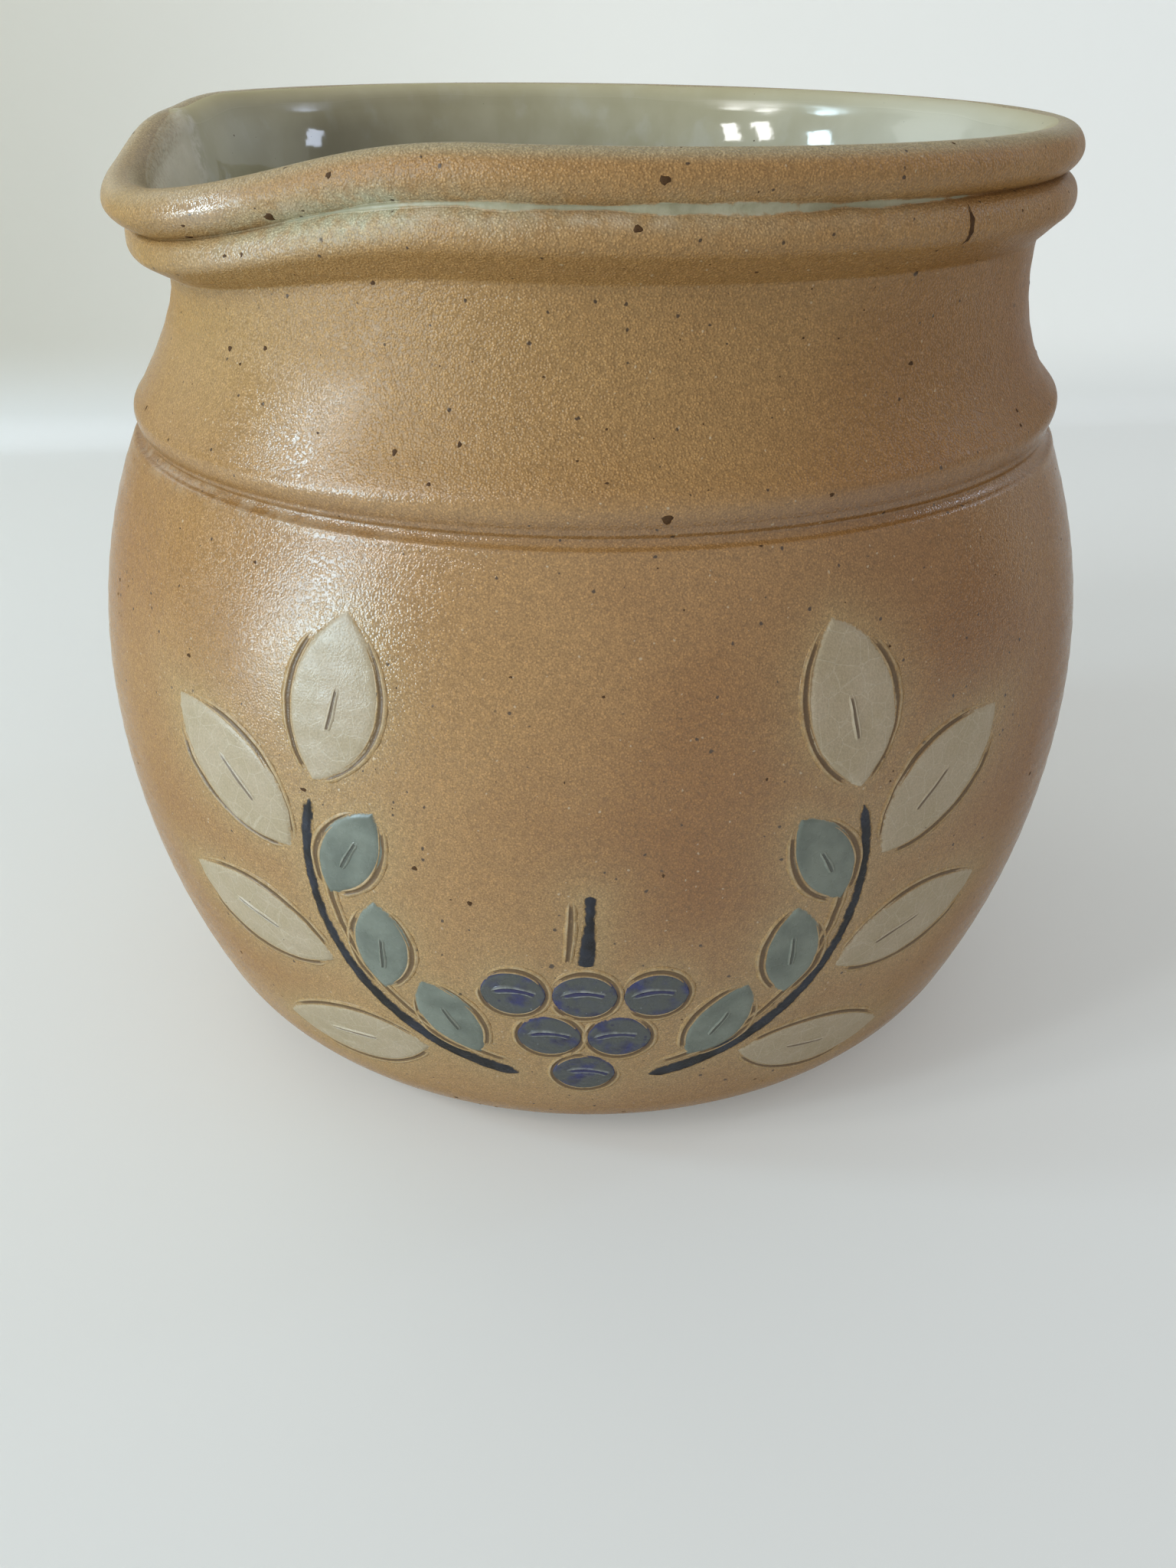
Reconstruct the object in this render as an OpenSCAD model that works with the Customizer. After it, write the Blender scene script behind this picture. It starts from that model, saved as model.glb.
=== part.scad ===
// Wheel-thrown stoneware pitcher with a double-beaded rim, a pulled spout, a glazed inside
// and a slip-painted wreath on its front. Millimetres, base on z = 0, axis on z, front towards -y.

/* [Belly] */
// Largest radius of the belly
belly_r = 75; // [70:1:80]
// Height of the widest point
belly_z = 57; // [52:1:60]
// Radius of the arc of the side above the widest point
side_arc_up = 84; // [80:1:92]
// Radius of the flat base
base_r = 53; // [50:1:56]
// Radius of the arc that turns the side in to the base
foot_arc = 23; // [20:1:26]
// Slope of the side where it leaves the base, in degrees from level
foot_slope = 22; // [16:1:28]
// Thickness of the belly's wall
belly_wall = 6; // [4.5:0.5:7.5]
// Thickness of the floor
floor_t = 8; // [6:0.5:10]

/* [Shoulder and neck] */
// Height of the shoulder ridge
shoulder_z = 97; // [94:0.5:100]
// Radius of the ridge's upper round, towards the neck
ridge_round = 2.2; // [1.6:0.1:2.8]
// Radius of the ridge's lower round, towards the groove
ridge_under = 5; // [4:0.2:6]
// Drop from the ridge to the groove under it
undercut_drop = 3.7; // [3.2:0.1:4.2]
// Depth of the groove under the ridge
undercut = 0.6; // [0.3:0.1:0.8]
// Radius of the groove under the ridge
undercut_round = 1; // [0.9:0.1:1.4]
// Outer radius of the neck at its narrowest
neck_r = 60.3; // [58:0.1:62]
// Height of the narrowest point of the neck
neck_z = 116; // [113:0.5:118]
// Thickness of the neck's wall
neck_wall = 5; // [4:0.5:6]

/* [Rim and spout] */
// Height of the rim
height = 133.7; // [131:0.1:138]
// Outer radius of the rim over its beads
rim_r = 64.8; // [63:0.1:67]
// Radius of each of the two beads
bead_round = 2.9; // [2.4:0.1:3.2]
// Drop of the lower bead's sloping underside, from the bead's centre to the neck
bead_skirt = 5.2; // [4.2:0.1:6.2]
// Radius of the rim's inner edge
lip_round = 3.2; // [2.6:0.1:3.6]
// Direction of the spout around the axis, in degrees from +x
spout_azimuth = 208.5; // [190:0.5:225]
// Half of the arc of rim that the spout takes up, in degrees
spout_half = 49.5; // [42:0.5:60]
// How far the rim dips at the spout
spout_dip = 7.7; // [4:0.1:9]
// How far both beads are pulled out at the spout
spout_reach = 1.2; // [0:0.1:2.5]
// Direction in which the upper bead is pulled out furthest, in degrees from +x
crest_azimuth = 212; // [190:0.5:225]
// Half of the arc of the upper bead that is pulled out further, in degrees
crest_half = 35.5; // [28:0.5:45]
// How much further the upper bead is pulled out
crest_reach = 2.6; // [0:0.1:3.5]
// Half of the arc of the channel inside the spout, in degrees
channel_half = 36.5; // [30:0.5:45]
// How far the channel is pressed out at the spout
channel_reach = 3.4; // [2:0.1:5]
// How far the rim is pinched in on each side of the spout
pinch = 1.5; // [0:0.1:2]
// Angle from the middle of the spout to each pinch
pinch_turn = 36; // [32:0.5:40]
// Half of the arc of each pinch, in degrees
pinch_half = 30; // [25:0.5:35]

/* [Glaze and slip] */
// Thickness of the glaze inside
liner_t = 0.5; // [0.3:0.1:0.8]
// Height of bare rim above the glaze inside
bare_rim = 4; // [3.5:0.5:8]
// How far the glaze in the groove between the beads stands out from the beads' centres
pool_out = 1.6; // [1.3:0.1:2.2]
// Thickness of the coloured slips on the front
slip_t = 0.5; // [0.3:0.1:0.8]

/* [Wreath on the front] */
// Radius of the open wreath, seen from the front
wreath_r = 35; // [33:0.5:38]
// Height of the wreath's centre
wreath_z = 52; // [50:0.5:55]
// Angle from the bottom of the wreath to the start of each stem
stem_from = 14; // [12:1:16]
// Angle from the bottom of the wreath to the end of each stem
stem_to = 104; // [98:1:108]
// Width of the stems
stem_w = 2.4; // [1.8:0.1:3]
// Angle along the wreath from the start of a stem to its first celadon leaf
leaf_first = 6; // [4:1:8]
// Angle along the wreath from a celadon leaf to the cream leaf on the other side
leaf_stagger = 10; // [8:1:12]
// Angle along the wreath between leaves on the same side of a stem
leaf_step = 28; // [27:0.5:29]
// Length of a cream leaf
cream_l = 22; // [18:0.5:23]
// Width of a cream leaf
cream_w = 11.5; // [9:0.5:12]
// Length of a celadon leaf
celadon_l = 15; // [12:0.5:16]
// Width of a celadon leaf
celadon_w = 8; // [6:0.5:9]
// Angle between a leaf and its stem
leaf_lean = 40; // [36:1:44]
// Gap between a leaf and its stem
leaf_gap = 1; // [0.6:0.1:1.4]
// Diameter of a berry
berry_d = 8.4; // [6:0.2:9]
// Gap between two berries
berry_gap = 0.8; // [0.5:0.1:1.4]
// Height of the lowest berry's centre
bunch_z = 19; // [17:0.5:21]
// Length of the stalk above the bunch
stalk_l = 9; // [6:0.5:11]

/* [Hidden] */
$fn = 180;

// Sides of the neck's and rim's loft, and its points on each round and each stretch of wall
sides = 80;
round_steps = 5;
wall_steps = 5;
// Steps of each bead's round that the glaze in the groove covers
pool_steps = 2;
// How far the loft's faces lie inside the turned wall, and how deep it is tucked into it
joint_ease = 0.02;
joint_tuck = 0.3;
// Leaves on each side of a stem, and rows of berries in the bunch
leaf_count = 3;
berry_rows = 3;

// Arcs of the belly: the foot's arc starts on the base's edge at its slope, and the lower side's arc
// touches it and stands upright at the widest point
side_up_c = [belly_r - side_arc_up, belly_z];
foot_c = [base_r, 0] + foot_arc * [-sin(foot_slope), cos(foot_slope)];
foot_in = belly_r - foot_c[0];
foot_down = belly_z - foot_c[1];
side_arc_down = (foot_in * foot_in + foot_down * foot_down - foot_arc * foot_arc)
    / (2 * (foot_in - foot_arc));
side_down_c = [belly_r - side_arc_down, belly_z];
foot_way = (foot_c - side_down_c) / (side_arc_down - foot_arc);

// Neck: one arc from the top of the ridge's round, at this angle on it, to the narrowest point and on
// to the lower bead
ridge_top = 45;
function side_r(z) = side_up_c[0] + sqrt(side_arc_up * side_arc_up - (z - belly_z) * (z - belly_z));
ridge_c = [side_r(shoulder_z), shoulder_z];
under_c = ridge_c + [ridge_round - ridge_under, 0];
groove_z = shoulder_z - undercut_drop;
groove_c = [side_r(groove_z) + undercut_round - undercut, groove_z];
neck_foot = ridge_c + ridge_round * [cos(ridge_top), sin(ridge_top)];
neck_drop = neck_z - neck_foot[1];
neck_flare = neck_foot[0] - neck_r;
neck_arc = (neck_drop * neck_drop + neck_flare * neck_flare) / (2 * neck_flare);
neck_c = [neck_r + neck_arc, neck_z];
function neck_side(z, inset) =
    neck_c[0] - sqrt(pow(neck_arc + inset, 2) - (z - neck_z) * (z - neck_z));
joint_z = (shoulder_z + neck_z) / 2;

// Lowest height of the slips, clear of the base
slip_from = 4;

// Inside of the shoulder: a straight stretch between the belly's arc and the neck's
throat_r = neck_side(shoulder_z, neck_wall);
throat_z = belly_z + sqrt(pow(side_arc_up - belly_wall, 2) - pow(throat_r - side_up_c[0], 2));

// Rim: two beads one on the other, and a rounded inner edge
bead_r = rim_r - bead_round;
upper_bead = [bead_r, height - bead_round];
lower_bead = [bead_r, height - 3 * bead_round];
skirt_z = lower_bead[1] - bead_skirt;
lip_z = height - lip_round;
lip_c = [neck_side(lip_z, neck_wall) + lip_round, lip_z];
liner_top = height - bare_rim;

function on_round(centre, radius, angle) = centre + radius * [cos(angle), sin(angle)];
function steps(from, to, count) = [for (i = [0:count]) from + (to - from) * i / count];
function turn_between(a, b) = abs(((a - b) % 360 + 540) % 360 - 180);
function grow(z, from, to) =
    let (t = max(0, min(1, (z - from) / (to - from)))) t * t * (3 - 2 * t);
function bell(angle, middle, half) =
    let (t = turn_between(angle, middle)) t < half ? (1 + cos(180 * t / half)) / 2 : 0;
// A round-bottomed hollow with a crease along both its edges
function scoop(angle) = max(0, 1 - pow(turn_between(angle, spout_azimuth) / channel_half, 3));
// The pull of the spout grows from the joint up to the groove, and the upper bead's own pull from the
// lower bead's centre to the upper bead's
function pull(z) = grow(z, joint_z, height - 2 * bead_round);
function crest_pull(z) = grow(z, lower_bead[1], upper_bead[1]);
function dip(z, a) = spout_dip * bell(a, spout_azimuth, spout_half) * pull(z);
function pinched(z, a) =
    pinch * pull(z)
    * (bell(a, spout_azimuth - pinch_turn, pinch_half) + bell(a, spout_azimuth + pinch_turn, pinch_half));
function outer_reach(z, a) =
    spout_reach * bell(a, spout_azimuth, spout_half) * pull(z)
    + crest_reach * bell(a, crest_azimuth, crest_half) * crest_pull(z)
    - pinched(z, a);
function inner_reach(z, a) = channel_reach * scoop(a) * pull(z) - pinched(z, a);

// Angles on a bead's round: where the lower bead's underside leaves it, and how near the two beads come
bead_under = -50;
bead_meet = 84;
// Outer points of the loft's section, from the joint up to the rim, as [r, z], and inner ones, as
// [r, z, share of the channel's pull], which falls from all of it to none over the inner edge's round
lower_arc = [for (a = steps(bead_under, bead_meet, round_steps)) on_round(lower_bead, bead_round, a)];
upper_arc = [for (a = steps(-bead_meet, 90, round_steps + 1)) on_round(upper_bead, bead_round, a)];
outer_section = concat(
    [for (z = steps(joint_z - joint_tuck, skirt_z, wall_steps)) [neck_side(z, 0) - joint_ease, z]],
    lower_arc,
    upper_arc
);
inner_wall = [
    for (z = concat([joint_z - joint_tuck], steps(joint_z, liner_top, wall_steps)))
        [neck_side(z, neck_wall), z, 1]
];
lip_shares = [for (i = [round_steps:-1:1]) i / round_steps];
inner_section = concat(
    inner_wall,
    [for (s = lip_shares) concat(on_round(lip_c, lip_round, 90 + 90 * s), [s])]
);

// A section's point at one azimuth: the spout lowers both sides of the wall, pulls them out and pinches
// them in beside it, and the inner side's polygon stands outside its circle
function outer_point(p, a) =
    let (r = p[0] + outer_reach(p[1], a)) [r * cos(a), r * sin(a), p[1] - dip(p[1], a)];
function inner_point(p, a) =
    let (reach = p[2] * inner_reach(p[1], a) + (1 - p[2]) * outer_reach(p[1], a))
    let (r = p[0] / cos(180 / sides) + joint_ease + reach) [r * cos(a), r * sin(a), p[1] - dip(p[1], a)];
azimuths = [for (i = [0:sides - 1]) 360 * i / sides];
function back(list) = [for (i = [len(list) - 1:-1:0]) list[i]];

// A closed ring: one loop of points at each azimuth, joined to the next by pairs of triangles
module ring(loops) {
    n = len(loops);
    m = len(loops[0]);
    faces = [
        for (i = [0:n - 1], j = [0:m - 1])
            let (a = i * m + j, b = i * m + (j + 1) % m, c = ((i + 1) % n) * m + j)
            let (d = ((i + 1) % n) * m + (j + 1) % m)
            each [[a, b, d], [a, d, c]]
    ];
    polyhedron([for (loop = loops) each loop], faces, convexity = 6);
}

// Half section of the filled belly up to a height, its side moved in by inset. The foot's stretch and
// the upper stretch run on inside the lower side's stretch
module belly_section(inset, from, to) {
    foot_top = foot_c[1] + (foot_arc - inset) * foot_way[1];
    intersection() {
        union() {
            translate(foot_c) circle(foot_arc - inset);
            translate([0, from]) square([foot_c[0], foot_c[1] - from]);
        }
        translate([0, from]) square([belly_r, foot_c[1] - from]);
    }
    intersection() {
        translate(side_down_c) circle(side_arc_down - inset);
        translate([0, foot_top]) square([2 * belly_r, belly_z - foot_top]);
    }
    intersection() {
        translate(side_up_c) circle(side_arc_up - inset);
        translate([0, foot_c[1]]) square([2 * belly_r, to - foot_c[1]]);
    }
}

module neck_section(inset, from, to) {
    difference() {
        translate([0, from]) square([neck_c[0], to - from]);
        translate(neck_c) circle(neck_arc + inset);
    }
}

// Half section of the hollow up to a height on the neck, its side moved in by coat
module hollow_section(coat, floor_z) {
    belly_section(belly_wall + coat, floor_z, throat_z);
    translate([0, throat_z]) square([throat_r - coat, shoulder_z - throat_z]);
    neck_section(neck_wall + coat, shoulder_z, joint_z);
}

module body_section() {
    difference() {
        union() {
            belly_section(0, 0, shoulder_z);
            translate(ridge_c) circle(ridge_round);
            intersection() {
                translate(under_c) circle(ridge_under);
                translate([0, groove_z]) square([2 * belly_r, undercut_drop]);
            }
            neck_section(0, neck_foot[1], joint_z);
            translate([0, shoulder_z]) square([neck_foot[0], neck_foot[1] - shoulder_z]);
        }
        translate(groove_c) circle(undercut_round);
        hollow_section(0, floor_t);
    }
}

module stoneware_body() {
    color("#b98b54") {
        rotate_extrude() body_section();
        ring([
            for (a = azimuths)
                concat(
                    [for (p = outer_section) outer_point(p, a)],
                    [for (p = back(inner_section)) inner_point(p, a)]
                )
        ]);
    }
}

// The glaze's upper stretch thins out to nothing at its top edge
module liner_glaze() {
    liner_foot = [neck_side(joint_z, neck_wall + liner_t / 3), joint_z - joint_tuck, 1];
    top = len(inner_wall) - 1;
    color("#9c9b88") {
        rotate_extrude() difference() {
            hollow_section(0, floor_t);
            hollow_section(liner_t, floor_t + liner_t);
        }
        ring([
            for (a = azimuths)
                concat(
                    [inner_point(liner_foot, a)],
                    [for (j = [1:top]) inner_point(inner_wall[j], a)],
                    [for (j = [top - 1:-1:0]) inner_point(inner_wall[j] - [liner_t, 0, 0], a)]
                )
        ]);
    }
}

// The pool lies on the last stretches of each bead before they meet
module groove_glaze() {
    color("#9ea48c")
        ring([
            for (a = azimuths)
                concat(
                    [outer_point([bead_r + pool_out, height - 2 * bead_round], a)],
                    [for (j = [pool_steps:-1:0]) outer_point(upper_arc[j], a)],
                    [for (j = [0:pool_steps]) outer_point(lower_arc[round_steps - j], a)]
                )
        ]);
}

// A drawing seen from the front, laid on the belly as a coat of slip
module slip_coat() {
    intersection() {
        rotate_extrude() difference() {
            belly_section(-slip_t, slip_from, throat_z);
            belly_section(0, slip_from, throat_z);
        }
        translate([0, 0, wreath_z]) rotate([90, 0, 0]) linear_extrude(belly_r + 2 * slip_t) children();
    }
}

// A pointed leaf with its stalk end at the origin, along +x
module leaf(l, w) {
    leaf_arc = (l * l + w * w) / (4 * w);
    intersection_for (side = [-1, 1])
        translate([l / 2, side * (leaf_arc - w / 2)]) circle(leaf_arc);
}

// Leaves leaning away from the right-hand stem: side 1 is inside the wreath, side -1 outside
module leaf_row(first, side, l, w) {
    stalk = (stem_w / 2 + leaf_gap) / sin(leaf_lean);
    for (k = [0:leaf_count - 1]) {
        angle = first + k * leaf_step;
        translate(wreath_r * [sin(angle), -cos(angle)])
            rotate(angle + side * leaf_lean)
            translate([stalk, 0]) leaf(l, w);
    }
}

module cream_leaves() {
    leaf_row(stem_from + leaf_first + leaf_stagger, -1, cream_l, cream_w);
    translate(wreath_r * [sin(stem_to), -cos(stem_to)])
        rotate(stem_to)
        translate([stem_w / 2 + leaf_gap, 0]) leaf(cream_l, cream_w);
}

module celadon_leaves() {
    leaf_row(stem_from + leaf_first, 1, celadon_l, celadon_w);
}

module stem() {
    reach = wreath_r + stem_w;
    middle = (stem_from + stem_to) / 2;
    intersection() {
        difference() {
            circle(wreath_r + stem_w / 2);
            circle(wreath_r - stem_w / 2);
        }
        polygon(concat([[0, 0]], [for (a = [stem_from, middle, stem_to]) 2 * reach * [sin(a), -cos(a)]]));
    }
    for (a = [stem_from, stem_to])
        translate(wreath_r * [sin(a), -cos(a)]) circle(stem_w / 2);
}

module berries() {
    pitch = berry_d + berry_gap;
    for (row = [0:berry_rows - 1], i = [0:row])
        translate([(i - row / 2) * pitch, bunch_z - wreath_z + row * pitch * sin(60)])
            circle(d = berry_d);
}

module stalk() {
    bunch_h = (berry_rows - 1) * (berry_d + berry_gap) * sin(60);
    from = bunch_z - wreath_z + bunch_h + berry_d / 2 + leaf_gap + stem_w / 2;
    translate([-stem_w / 2, from]) square([stem_w, stalk_l]);
    for (end = [from, from + stalk_l])
        translate([0, end]) circle(stem_w / 2);
}

module left_stem() { color("#3a3129") slip_coat() mirror([1, 0]) stem(); }
module right_stem() { color("#3a3129") slip_coat() stem(); }
module bunch_stalk() { color("#3a3129") slip_coat() stalk(); }
module left_cream_leaves() { color("#cbb893") slip_coat() mirror([1, 0]) cream_leaves(); }
module right_cream_leaves() { color("#cbb893") slip_coat() cream_leaves(); }
module left_celadon_leaves() { color("#7f8672") slip_coat() mirror([1, 0]) celadon_leaves(); }
module right_celadon_leaves() { color("#7f8672") slip_coat() celadon_leaves(); }
module cobalt_berries() { color("#2f3560") slip_coat() berries(); }

stoneware_body();
liner_glaze();
groove_glaze();
left_stem();
right_stem();
bunch_stalk();
left_cream_leaves();
right_cream_leaves();
left_celadon_leaves();
right_celadon_leaves();
cobalt_berries();
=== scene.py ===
from math import atan2, cos, degrees, pi, radians, sin, sqrt

import bpy
import numpy as np
from mathutils import Matrix, Vector


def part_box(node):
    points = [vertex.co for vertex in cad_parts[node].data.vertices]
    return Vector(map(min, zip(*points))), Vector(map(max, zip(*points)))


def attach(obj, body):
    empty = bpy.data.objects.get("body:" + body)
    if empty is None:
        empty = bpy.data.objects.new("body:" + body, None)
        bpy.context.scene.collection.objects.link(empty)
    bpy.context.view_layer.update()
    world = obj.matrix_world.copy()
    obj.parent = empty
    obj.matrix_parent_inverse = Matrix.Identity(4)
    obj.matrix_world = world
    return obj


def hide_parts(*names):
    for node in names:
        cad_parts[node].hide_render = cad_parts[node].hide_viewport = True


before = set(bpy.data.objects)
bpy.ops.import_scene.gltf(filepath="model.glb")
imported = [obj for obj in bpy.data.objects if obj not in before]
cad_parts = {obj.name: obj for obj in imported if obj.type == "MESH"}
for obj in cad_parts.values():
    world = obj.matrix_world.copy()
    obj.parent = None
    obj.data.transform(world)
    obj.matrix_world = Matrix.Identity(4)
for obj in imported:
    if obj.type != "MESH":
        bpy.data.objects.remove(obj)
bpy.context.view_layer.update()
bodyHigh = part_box("stoneware_body")[1]
print("frame loaded,", len(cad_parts), "nodes")

mm = 0.001  # shapes are worked out in millimetres and angles in radians
scene = bpy.context.scene
scene.view_settings.view_transform = "Standard"
dice = np.random.default_rng(7)  # one seeded source for all that is uneven by hand

# Camera, as it stood before the pot
photo = {"high": 2048, "focal": 1900}  # long side and focal length of the picture, in pixels
stand = {"back": 222.85, "up": 146.92, "tilt": 28.39, "roll": 0.84, "near": 10}  # millimetres and degrees


def makeCamera():
    lens = bpy.data.cameras.new("photoCamera")
    lens.lens = lens.sensor_width * photo["focal"] / photo["high"]
    lens.clip_start = stand["near"] * mm
    camera = bpy.data.objects.new("photoCamera", lens)
    camera.matrix_world = (
        Matrix.Translation((0, -stand["back"] * mm, stand["up"] * mm))
        @ Matrix.Rotation(radians(90 - stand["tilt"]), 4, "X")
        @ Matrix.Rotation(radians(stand["roll"]), 4, "Z")
    )
    scene.collection.objects.link(camera)
    scene.camera = camera


makeCamera()
print("camera set")

# Section of the pot: the same arcs as the turned clay, in millimetres
pot = {
    "belly": bodyHigh.x / mm, "bellyZ": 57, "sideUp": 84, "base": 53, "baseEdge": 1.2,
    "foot": 23, "footSlope": 22, "footFrom": -66, "wall": 6, "floor": 8,
    "shoulderZ": 97, "ridge": 2.2, "ridgeTop": 45, "ridgeUnder": 5, "shoulderFrom": 90,
    "undercut": 0.6, "undercutZ": 93.3, "undercutRound": 1.0, "burrZ": 91.8, "burr": 0.14, "burrSpread": 0.6,
    "neck": 60.3, "neckZ": 116, "neckWall": 5,
    "height": bodyHigh.z / mm, "rim": 64.8, "bead": 2.9, "skirt": 5.2, "lip": 3.2,
    "beadUnder": -50, "beadMeet": 84, "soften": 0.16, "columns": 350,
}
fine = 0.1  # step of the worked-out section
straight = {"base": 200, "skirt": 40, "inFloor": 200}  # points of the straight stretches
rowStep = {  # and how far apart the rows of the mesh stand on each stretch
    "base": 6, "foot": 1.3, "lowSide": 1.3, "highSide": 1.3, "shoulder": 0.25, "neck": 0.8, "skirt": 0.3,
    "lowBead": 0.36, "highBead": 0.36, "lip": 0.4, "inNeck": 1.6, "inSide": 4, "inFoot": 4, "inFloor": 8,
}
toolLines = [("shoulder", 0.43, 0.2, 0.28)]  # stretch, share, depth, width


def arc(centre, radius, start, stop):  # centre plus radius times (cos, sin) of a turn from start to stop
    turn = np.radians(np.linspace(start, stop, max(4, int(radius * abs(radians(stop - start)) / fine))))
    return np.c_[centre[0] + radius * np.cos(turn), centre[1] + radius * np.sin(turn)]


def bell(t):  # e to the power of minus t squared
    return np.exp(-(t ** 2))


# Stretches of the section from the middle of the base, up the outside, over the rim and down the inside:
# circle arcs that touch each other, with the ridge and its undercut as radius over height
def sectionStretches(p):
    slope = radians(p["footSlope"])
    footC = np.array([p["base"] - p["foot"] * sin(slope), p["foot"] * cos(slope)])
    inward, down = p["belly"] - footC[0], p["bellyZ"] - footC[1]
    sideDown = (inward ** 2 + down ** 2 - p["foot"] ** 2) / (2 * (inward - p["foot"]))
    downC = np.array([p["belly"] - sideDown, p["bellyZ"]])
    upC = np.array([p["belly"] - p["sideUp"], p["bellyZ"]])
    footTurn = degrees(atan2(footC[1] - downC[1], footC[0] - downC[0]))

    def sideR(z):
        return upC[0] + np.sqrt(p["sideUp"] ** 2 - (z - p["bellyZ"]) ** 2)

    ridgeR = sideR(p["shoulderZ"])
    ridgeTop = radians(p["ridgeTop"])
    neckFoot = np.array([ridgeR, p["shoulderZ"]]) + p["ridge"] * np.array([cos(ridgeTop), sin(ridgeTop)])
    drop, flare = p["neckZ"] - neckFoot[1], neckFoot[0] - p["neck"]
    neckArc = (drop ** 2 + flare ** 2) / (2 * flare)

    def neckR(z, inset):
        return p["neck"] + neckArc - np.sqrt((neckArc + inset) ** 2 - (z - p["neckZ"]) ** 2)

    z = np.arange(p["bellyZ"], neckFoot[1], fine)
    inGroove = np.maximum(p["undercutRound"] ** 2 - (z - p["undercutZ"]) ** 2, 0)
    cut = sideR(p["undercutZ"]) + p["undercutRound"] - p["undercut"] - np.sqrt(inGroove)
    side = np.where(inGroove > 0, np.minimum(sideR(z), cut), sideR(z))
    side = side + p["burr"] * bell((z - p["burrZ"]) / p["burrSpread"])
    ridgeRound = np.where(z < p["shoulderZ"], p["ridgeUnder"], p["ridge"])
    inRidge = np.maximum(ridgeRound ** 2 - (z - p["shoulderZ"]) ** 2, 0)
    ridge = ridgeR + p["ridge"] - ridgeRound + np.sqrt(inRidge)
    upper = np.c_[np.where(inRidge > 0, np.maximum(side, ridge), side), z]
    atShoulder = z > p["shoulderFrom"]

    beadR = p["rim"] - p["bead"]
    lowBead = np.array([beadR, p["height"] - 3 * p["bead"]])
    highBead = np.array([beadR, p["height"] - p["bead"]])
    skirtZ = lowBead[1] - p["skirt"]
    neckZ = np.arange(neckFoot[1], skirtZ, fine)
    lipZ = p["height"] - p["lip"]
    lipC = np.array([neckR(lipZ, p["neckWall"]) + p["lip"], lipZ])
    underside = arc(lowBead, p["bead"], p["beadUnder"], p["beadUnder"] + 1)[0]
    inNeckZ = np.arange(lipZ, p["shoulderZ"], -fine)
    throatR = neckR(p["shoulderZ"], p["neckWall"])
    inUp, inDown, inFoot = p["sideUp"] - p["wall"], sideDown - p["wall"], p["foot"] - p["wall"]
    throatTurn = degrees(np.arccos((throatR - upC[0]) / inUp))
    floorTurn = degrees(np.arcsin((p["floor"] - footC[1]) / inFoot))
    floorEdge = arc(footC, inFoot, floorTurn, floorTurn + 1)[0]
    heel = np.array([p["base"] - p["baseEdge"], 0])
    return {
        "base": np.linspace((0, 0), heel, straight["base"]),
        "foot": arc(footC, p["foot"], p["footFrom"], footTurn),
        "lowSide": arc(downC, sideDown, footTurn, 0),
        "highSide": upper[~atShoulder],
        "shoulder": upper[atShoulder],
        "neck": np.c_[neckR(neckZ, 0), neckZ],
        "skirt": np.linspace((neckR(skirtZ, 0), skirtZ), underside, straight["skirt"]),
        "lowBead": arc(lowBead, p["bead"], p["beadUnder"], p["beadMeet"]),
        "highBead": arc(highBead, p["bead"], -p["beadMeet"], 90),
        "lip": arc(lipC, p["lip"], 90, 180),
        "inNeck": np.c_[neckR(inNeckZ, p["neckWall"]), inNeckZ],
        "inSide": np.vstack([arc(upC, inUp, throatTurn, 0), arc(downC, inDown, 0, footTurn)]),
        "inFoot": arc(footC, inFoot, footTurn, floorTurn),
        "inFloor": np.linspace(floorEdge, (0, p["floor"]), straight["inFloor"]),
    }


# The stretches end to end, in even steps of length, with corners rounded by a running bell average
def workOutSection(p):
    parts = sectionStretches(p)
    points = np.vstack(list(parts.values()))
    inner = np.concatenate([
        np.linspace(0, 1, len(part)) if name == "lip" else np.full(len(part), float(name.startswith("in")))
        for name, part in parts.items()
    ])
    length = np.r_[0, np.cumsum(np.linalg.norm(np.diff(points, axis=0), axis=1))]
    ends = length[np.cumsum([len(part) for part in parts.values()]) - 1]
    s = np.arange(0, length[-1], fine)
    reach = int(4 * p["soften"] / fine)
    weights = bell(np.arange(-reach, reach + 1) * fine / p["soften"] / sqrt(2))
    weights /= weights.sum()
    columns = [np.interp(s, length, column) for column in (points[:, 0], points[:, 1], inner)]
    r, z, w = (np.convolve(np.pad(column, reach, mode="edge"), weights, mode="valid") for column in columns)
    r[[0, -1]] = 0
    starts = np.r_[0, ends[:-1]]
    marks = {name: (start, end) for name, start, end in zip(parts, starts, ends)}
    for name, share, depth, wide in toolLines:
        at = marks[name][0] + share * (marks[name][1] - marks[name][0])
        r -= depth * bell((s - at) / wide)
    rows = np.concatenate([np.arange(*marks[name], rowStep[name]) for name in parts])
    return {"s": s, "r": r, "z": z, "w": w, "marks": marks, "rows": np.r_[rows, s[-1]]}


section = workOutSection(pot)
marks = section["marks"]
print("section worked out,", len(section["rows"]), "rows")

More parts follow.
